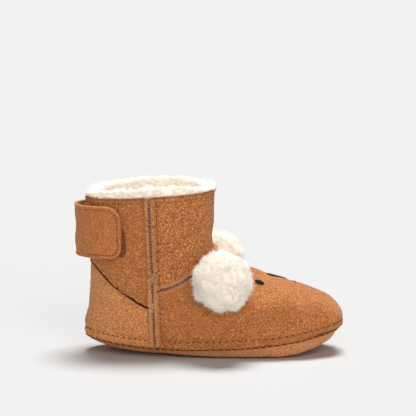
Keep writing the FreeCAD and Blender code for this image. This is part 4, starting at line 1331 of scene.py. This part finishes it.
tabp, tab_out, tab_n, tab_d = strap_piece("strap_tab_half", S_MID, S_TAB, int(180 * NV), int(70 * NV), round_end=8.0,
                                          r_low=5.4, rim=(0, 1))
ancp, anc_out, anc_n, anc_d = strap_piece("strap_anchor_half", S_ANC, S_MID, int(150 * NV), int(70 * NV), rim=(1, 0))


def at_strap(x):
    P, _ = strap_surface(np.array([x]), np.array([0.5]), 0.8)
    return P[0] * 0.001


piece(tabp, STRAP_M, None, ["strap_tab", "strap_back"],
      bend=("strap_back", "strap_tab", tuple(at_strap(S_FL - 3.5)), tuple(at_strap(S_FL + 3.5))))
piece(ancp, STRAP_M, None, ["strap_anchor"],
      bend=("medial_flap", "strap_back", tuple(at_strap(S_FM - 3.5)), tuple(at_strap(S_FM + 3.5))))

# stitches round the tab
def tab_outline(inset, x_from, r_t=8.0, r_b=5.4):
    h = 25.6
    pts = []
    x1 = S_TAB - inset
    rt, rb = r_t - inset, r_b - inset
    for x in np.linspace(x_from, x1 - rt, 40):
        pts.append((x, h - inset))
    for g in np.linspace(0, PI / 2, 14)[1:]:
        pts.append((x1 - rt + rt * math.sin(g), h - inset - rt + rt * math.cos(g)))
    for y in np.linspace(h - inset - rt, inset + rb, 24)[1:]:
        pts.append((x1, y))
    for g in np.linspace(0, PI / 2, 12)[1:]:
        pts.append((x1 - rb + rb * math.cos(g), inset + rb - rb * math.sin(g)))
    for x in np.linspace(x1 - rb, x_from, 40)[1:]:
        pts.append((x, inset))
    return np.array(pts)


to = tab_outline(1.8, S_FL + 2.0)
tp, tn = strap_surface(to[:, 0], to[:, 1] / 25.6, 1.6 - 0.2)
piece(stitch_row("strap_tab_stitch", tp, tn, 1.9, 1.15, 0.19, sink=0.04, jitter=0.05), THREAD, "strap_tab",
      ["strap_tab_stitch"])
ay = np.array([[S_ANC + 1.8 + (9 * q), 0] for q in (0, 1)])
box = np.array([(S_ANC + 1.8, 2.0), (S_ANC + 10.0, 2.0), (S_ANC + 10.0, 23.6), (S_ANC + 1.8, 23.6), (S_ANC + 1.8, 2.0)])
bx = []
for (xa, ya), (xb, yb) in zip(box, box[1:]):
    for g in np.linspace(0, 1, 40, endpoint=False):
        bx.append((xa + (xb - xa) * g, ya + (yb - ya) * g))
bx = np.array(bx)
bp, bn = strap_surface(bx[:, 0], bx[:, 1] / 25.6, 1.6 - 0.1)
piece(stitch_row("strap_anchor_stitch", bp, bn, 1.9, 1.15, 0.22, sink=0.02, jitter=0.05), THREAD, "medial_flap",
      ["strap_anchor_stitch"])

# hook tape under the tab: its ply shows at the tab's edge
hk, _, _, _ = strap_piece("hook_tape", S_FL + 2.5, S_TAB + 0.25, 60, 40, thick=1.0, round_end=7.6, r_low=5.1, inset=0.35, base=-1.02)
piece(hk, HOOK, "strap_tab", ["hook_tape"])


# loop patch on the flap; its darkened suede is painted shade under the strap's tab
def loop_where(S, V):
    x1 = -40.6 - 1.5 * np.abs(2 * V - 1)**5
    x = -56.0 + (x1 + 56.0) * S
    z = 50.8 + (65.2 - 50.8) * V
    a = phi_at_x(x, np.full(S.shape, 0.75))
    return -a, level_at_z(a, z, 0.4, 1.1)


def loop_relief(d):
    e = np.minimum(np.minimum(d["v0"], d["v1"]), d["s1"])
    wave = 0.25 * field(d["P"], 17, 73)
    return wave + 1.35 - 0.15 * np.exp(-((e - 0.9) / 0.3)**2)


lp, lpo, lpn, lpd = panel("loop_patch", loop_where, 60, 50, 17, 12, 1.2, loop_relief, base=0.05, r_edge=0.4)
piece(lp, LOOP_PATCH_SHADE, "lateral_flap", ["loop_patch"])
q1 = on_panel(lpo, lpd, "s1", 0.95)
m1 = norm_on(lpn, lpd, "s1", 0.95)
q2 = on_panel(lpo, lpd, "v1", 0.95)
m2 = norm_on(lpn, lpd, "v1", 0.95)
q3 = on_panel(lpo, lpd, "v0", 0.95)
m3 = norm_on(lpn, lpd, "v0", 0.95)
sa = stitch_row("lp_a", q1[4:-4], m1[4:-4], 1.9, 1.2, 0.2, sink=0.03, jitter=0.05)
sb = stitch_row("lp_b", q2[2:-4], m2[2:-4], 1.9, 1.2, 0.2, sink=0.03, jitter=0.05)
sc = stitch_row("lp_c", q3[2:-4], m3[2:-4], 1.9, 1.2, 0.2, sink=0.03, jitter=0.05)
piece(join("loop_patch_stitch", [sa, sb, sc]), TIE, "lateral_flap", ["loop_patch_stitch"])

# ---------------------------------------------------------------------------
# Embroidered face
# ---------------------------------------------------------------------------
def spot(x0, y0):
    """Angle and level of the vamp point above (x0, y0)."""
    x0, y0 = np.broadcast_arrays(np.asarray(x0, float), np.asarray(y0, float))
    ts = np.linspace(0.1, THROAT, 200)
    fx = ring(ts)[:, 0]
    o = np.argsort(fx)
    t = np.interp(x0, fx[o], ts[o])
    phi = np.arctan2(y0, 24.0) * 1.2
    for _ in range(60):
        P = shell(phi, t)
        A = (shell(phi + 1e-3, t) - P) / 1e-3
        B = (shell(phi, t + 1e-3) - P) / 1e-3
        det = A[..., 0] * B[..., 1] - B[..., 0] * A[..., 1]
        ex, ey = x0 - P[..., 0], y0 - P[..., 1]
        dp = (ex * B[..., 1] - ey * B[..., 0]) / det
        dt = (A[..., 0] * ey - A[..., 1] * ex) / det
        phi = phi + np.clip(dp, -0.1, 0.1)
        t = t + np.clip(dt, -0.03, 0.03)
    return phi, t


def on_vamp(x, y, h=0.0):
    phi, t = spot(x, y)
    P, N = shell(phi, t), normal(phi, t)
    grain = 0.16 * 0
    return P + N * (soft(P) + h)[..., None], N


def tube(name, P, N, r, sides=6, flat=0.8):
    """One thread following a path, closed at both ends."""
    n = len(P)
    T = unit(np.gradient(P, axis=0))
    X = unit(np.cross(T, N))
    Y = unit(np.cross(X, T))
    r = np.broadcast_to(r, (n,))
    V = np.stack([P + (X * math.cos(2 * PI * j / sides) + Y * math.sin(2 * PI * j / sides) * flat) * r[:, None]
                  for j in range(sides)], 1)
    q = grid_quads(n, sides, 0)
    i = np.arange(n - 1)
    q = np.concatenate([q, np.stack([i * sides + sides - 1, (i + 1) * sides + sides - 1, (i + 1) * sides, i * sides], -1)])
    tr = []
    for j in range(1, sides - 1):
        tr += [[0, j + 1, j], [(n - 1) * sides, (n - 1) * sides + j, (n - 1) * sides + j + 1]]
    return fix_normals(mesh_object(name, V.reshape(-1, 3), q, tr))


def satin(name, cx, cy, hx, hy, r, step, across="y", turn=0.0, pad=0.35, power=2.0):
    """Satin-stitched shape: threads side by side over a padded oval."""
    obs = []
    g = np.random.default_rng(sum(map(ord, name)))
    ca, sa_ = math.cos(turn), math.sin(turn)
    m = hx if across == "y" else hy
    for k, u in enumerate(np.arange(-m + r * 0.7, m - r * 0.6, step)):
        w = (1 - abs(u / m)**power)**(1 / power) * (hy if across == "y" else hx)
        if w < 0.25:
            w = 0.25
        w += g.normal() * 0.06
        q = np.linspace(-1, 1, 17)
        if across == "y":
            X, Y = u + g.normal() * 0.02 + 0 * q, q * w
        else:
            X, Y = q * w, u + g.normal() * 0.02 + 0 * q
        x = cx + X * ca - Y * sa_
        y = cy + X * sa_ + Y * ca
        hgt = 0.12 + pad * np.sqrt(np.maximum(0, 1 - q**4)) * (1 - 0.35 * (u / m)**2)
        P, N = on_vamp(x, y, hgt)
        rr = r * (0.75 + 0.25 * np.sqrt(np.maximum(0, 1 - q**6)))
        obs.append(tube("%s_%02d" % (name, k), P, N, rr))
    return join(name, obs)


piece(satin("nose_patch", 34.2, 1.5, 4.9, 3.1, 0.26, 0.44, across="x", pad=0.18, power=2.4), BLACK, "bootie",
      ["nose_patch"])
for side, word in ((-1, "lateral"), (1, "medial")):
    piece(satin("eye_" + word, 25.1, side * 14.1, 2.3, 1.25, 0.25, 0.41, across="x", pad=0.5, turn=side * 0.12), BLACK,
          "bootie", ["eye_" + word])
obs = []
for k, (xa, ya, xb, yb) in enumerate(((42.7, -0.5, 42.85, -1.7), (43.3, -3.6, 43.6, -4.6), (42.7, 0.5, 42.85, 1.7), (43.3, 3.6, 43.6, 4.6))):
    q = np.linspace(0, 1, 9)
    P, N = on_vamp(xa + (xb - xa) * q, ya + (yb - ya) * q, 0.12 + 0.12 * np.sin(q * PI))
    obs.append(tube("mouth_%d" % k, P, N, 0.24))
piece(join("mouth_stitch", obs), BLACK, "bootie", ["mouth_stitch"])

# ---------------------------------------------------------------------------
# Pom-pom ears
# ---------------------------------------------------------------------------
def tree_of(*grids):
    V, F, base = [], [], 0
    for G in grids:
        ns, nv = G.shape[:2]
        V.append(G.reshape(-1, 3))
        F.append(grid_quads(ns, nv, base))
        base += ns * nv
    V = np.concatenate(V)
    F = np.concatenate(F)
    return BVHTree.FromPolygons([tuple(v) for v in V], [tuple(q) for q in F])


SKIN = tree_of(vamp_out[::3, ::2], front_out[::3, ::2])
CORE = np.array([-10.0, 0.0, 25.0])


def outside(P):
    """Signed distance of points from the suede (positive outside)."""
    out = np.empty(len(P))
    hit = np.empty((len(P), 3))
    nrm = np.empty((len(P), 3))
    for i, p in enumerate(P):
        loc, n, idx, dist = SKIN.find_nearest(Vector(p))
        n = np.array(n)
        loc = np.array(loc)
        c = CORE.copy()
        c[2] = min(max(p[2], 10), 70) * 0.8
        if np.dot(n, loc - c) < 0:
            n = -n
        out[i] = np.dot(np.asarray(p) - loc, n)
        hit[i] = loc
        nrm[i] = n
    return out, hit, nrm


def pompom(name, centre, radius, n, seed):
    g = np.random.default_rng(seed)
    centre = np.array(centre, float)
    # lumpy ground
    nu, nw = 90, 60
    th = np.linspace(0, 2 * PI, nu + 1)[:-1]
    ph = np.linspace(0.03, PI - 0.03, nw)
    TH, PH = np.meshgrid(th, ph, indexing="ij")
    D = np.stack([np.cos(TH) * np.sin(PH), np.sin(TH) * np.sin(PH), np.cos(PH)], -1)
    lump = field(D * radius, 8.0, seed + 1, 14)
    fine = field(D * radius, 3.0, seed + 2, 14)
    B = centre + D * (radius * 0.895 + 0.55 * lump + 0.22 * fine)[..., None]
    flat = B.reshape(-1, 3)
    sd, hit, nn_ = outside(flat)
    bad = sd < 0.35
    flat[bad] = hit[bad] + nn_[bad] * 0.35
    V = np.concatenate([flat])
    Q = grid_quads(nu, nw, 0, False, True)
    tr = []
    for a in range(1, nu - 1):
        tr.append([0, a * nw, (a + 1) * nw])
        tr.append([nw - 1, (a + 1) * nw + nw - 1, a * nw + nw - 1])
    ground = fix_normals(mesh_object(name + "_ground", V, Q, tr))
    paint(ground, POM_G)
    # fibres
    i = np.arange(n) + 0.5
    z = 1 - 2 * i / n
    a = PI * (1 + 5**0.5) * i
    d = np.stack([np.cos(a) * np.sqrt(1 - z * z), np.sin(a) * np.sqrt(1 - z * z), z], -1)
    d = unit(d + g.normal(size=(n, 3)) * 0.02)
    clumps = unit(g.normal(size=(420, 3)))
    near = np.argmax(d @ clumps.T, axis=1)
    cd = clumps[near]
    tall = g.uniform(0.97, 1.035, 420)[near]
    lump = field(d * radius, 8.0, seed + 1, 14)
    root = centre + d * (radius * 0.86 + 0.55 * lump)[:, None]
    aim_ = unit(d * 0.78 + cd * 0.22 + g.normal(size=(n, 3)) * 0.06)
    tip = centre + aim_ * (radius * 0.975 * tall + 0.55 * lump + g.normal(size=n) * 0.45 + (g.uniform(0, 1, n) < 0.12) * g.uniform(0.4, 1.5, n))[:, None]
    dirs = tip - root
    L = np.linalg.norm(dirs, axis=1)
    dirs = dirs / L[:, None]
    bend = g.normal(size=(n, 3)) * 0.38
    s1, _, _ = outside(tip + bend)
    s0, _, _ = outside(root)
    ok = (s1 > 0.15) & (s0 > 0.0)
    fib = strands(name + "_fibres", root[ok], dirs[ok], L[ok], g.uniform(0.08, 0.13, n)[ok], bend[ok], levels=2)
    paint(fib, POM)
    return join(name, [ground, fib])


NP = int(18200 * K)
piece(pompom("ear_pompom_lateral", (6.75, -28.0, 39.3), 15.0, NP, 201), None, "bootie", ["ear_pompom_lateral"])
piece(pompom("ear_pompom_medial", (3.2, 28.0, 40.7), 15.3, NP, 301), None, "bootie", ["ear_pompom_medial"])

# ---------------------------------------------------------------------------
# Floor, light, camera
# ---------------------------------------------------------------------------
bpy.ops.mesh.primitive_plane_add(size=40.0, location=(0, 0, -0.0002))
floor = bpy.context.object
floor.name = "floor"
fm, fnt, fb = new_mat("floor_pale")
fb.inputs["Base Color"].default_value = (0.574, 0.574, 0.574, 1)
fb.inputs["Roughness"].default_value = 1.0
fb.inputs["Specular IOR Level"].default_value = 0.0
paint(floor, fm)

scene = bpy.context.scene
world = bpy.data.worlds.new("studio") if scene.world is None else scene.world
scene.world = world
world.use_nodes = True
bg = next(n for n in world.node_tree.nodes if n.type == "BACKGROUND")
bg.inputs["Color"].default_value = (1.0, 0.76, 0.63, 1)
bg.inputs["Strength"].default_value = 0.18

for word, watts, spread, colour, toward in (
        ("key", 4.05, 26, (0.935, 0.975, 1.0), (0.06, 0.25, 1.0)),
        ("fill", 1.80, 50, (1.0, 0.955, 0.915), (0.18, -1.0, 0.38))):
    sun = bpy.data.lights.new(word, "SUN")
    sun.energy = watts
    sun.angle = math.radians(spread)
    sun.color = colour
    so = bpy.data.objects.new(word, sun)
    bpy.context.collection.objects.link(so)
    so.rotation_euler = Vector(toward).to_track_quat("Z", "Y").to_euler()

cam = bpy.data.cameras.new("camera")
cam.lens = 225
cam.sensor_width = 36
cam.clip_end = 50
co = bpy.data.objects.new("camera", cam)
bpy.context.collection.objects.link(co)
el = math.radians(8)
aim = Vector((-0.0003, 0.0, 0.0719))
pos = aim + Vector((0, -math.cos(el), math.sin(el))) * 1.3
co.location = pos
co.rotation_euler = (aim - pos).to_track_quat("-Z", "Y").to_euler()
scene.camera = co
scene.view_settings.view_transform = "Standard"
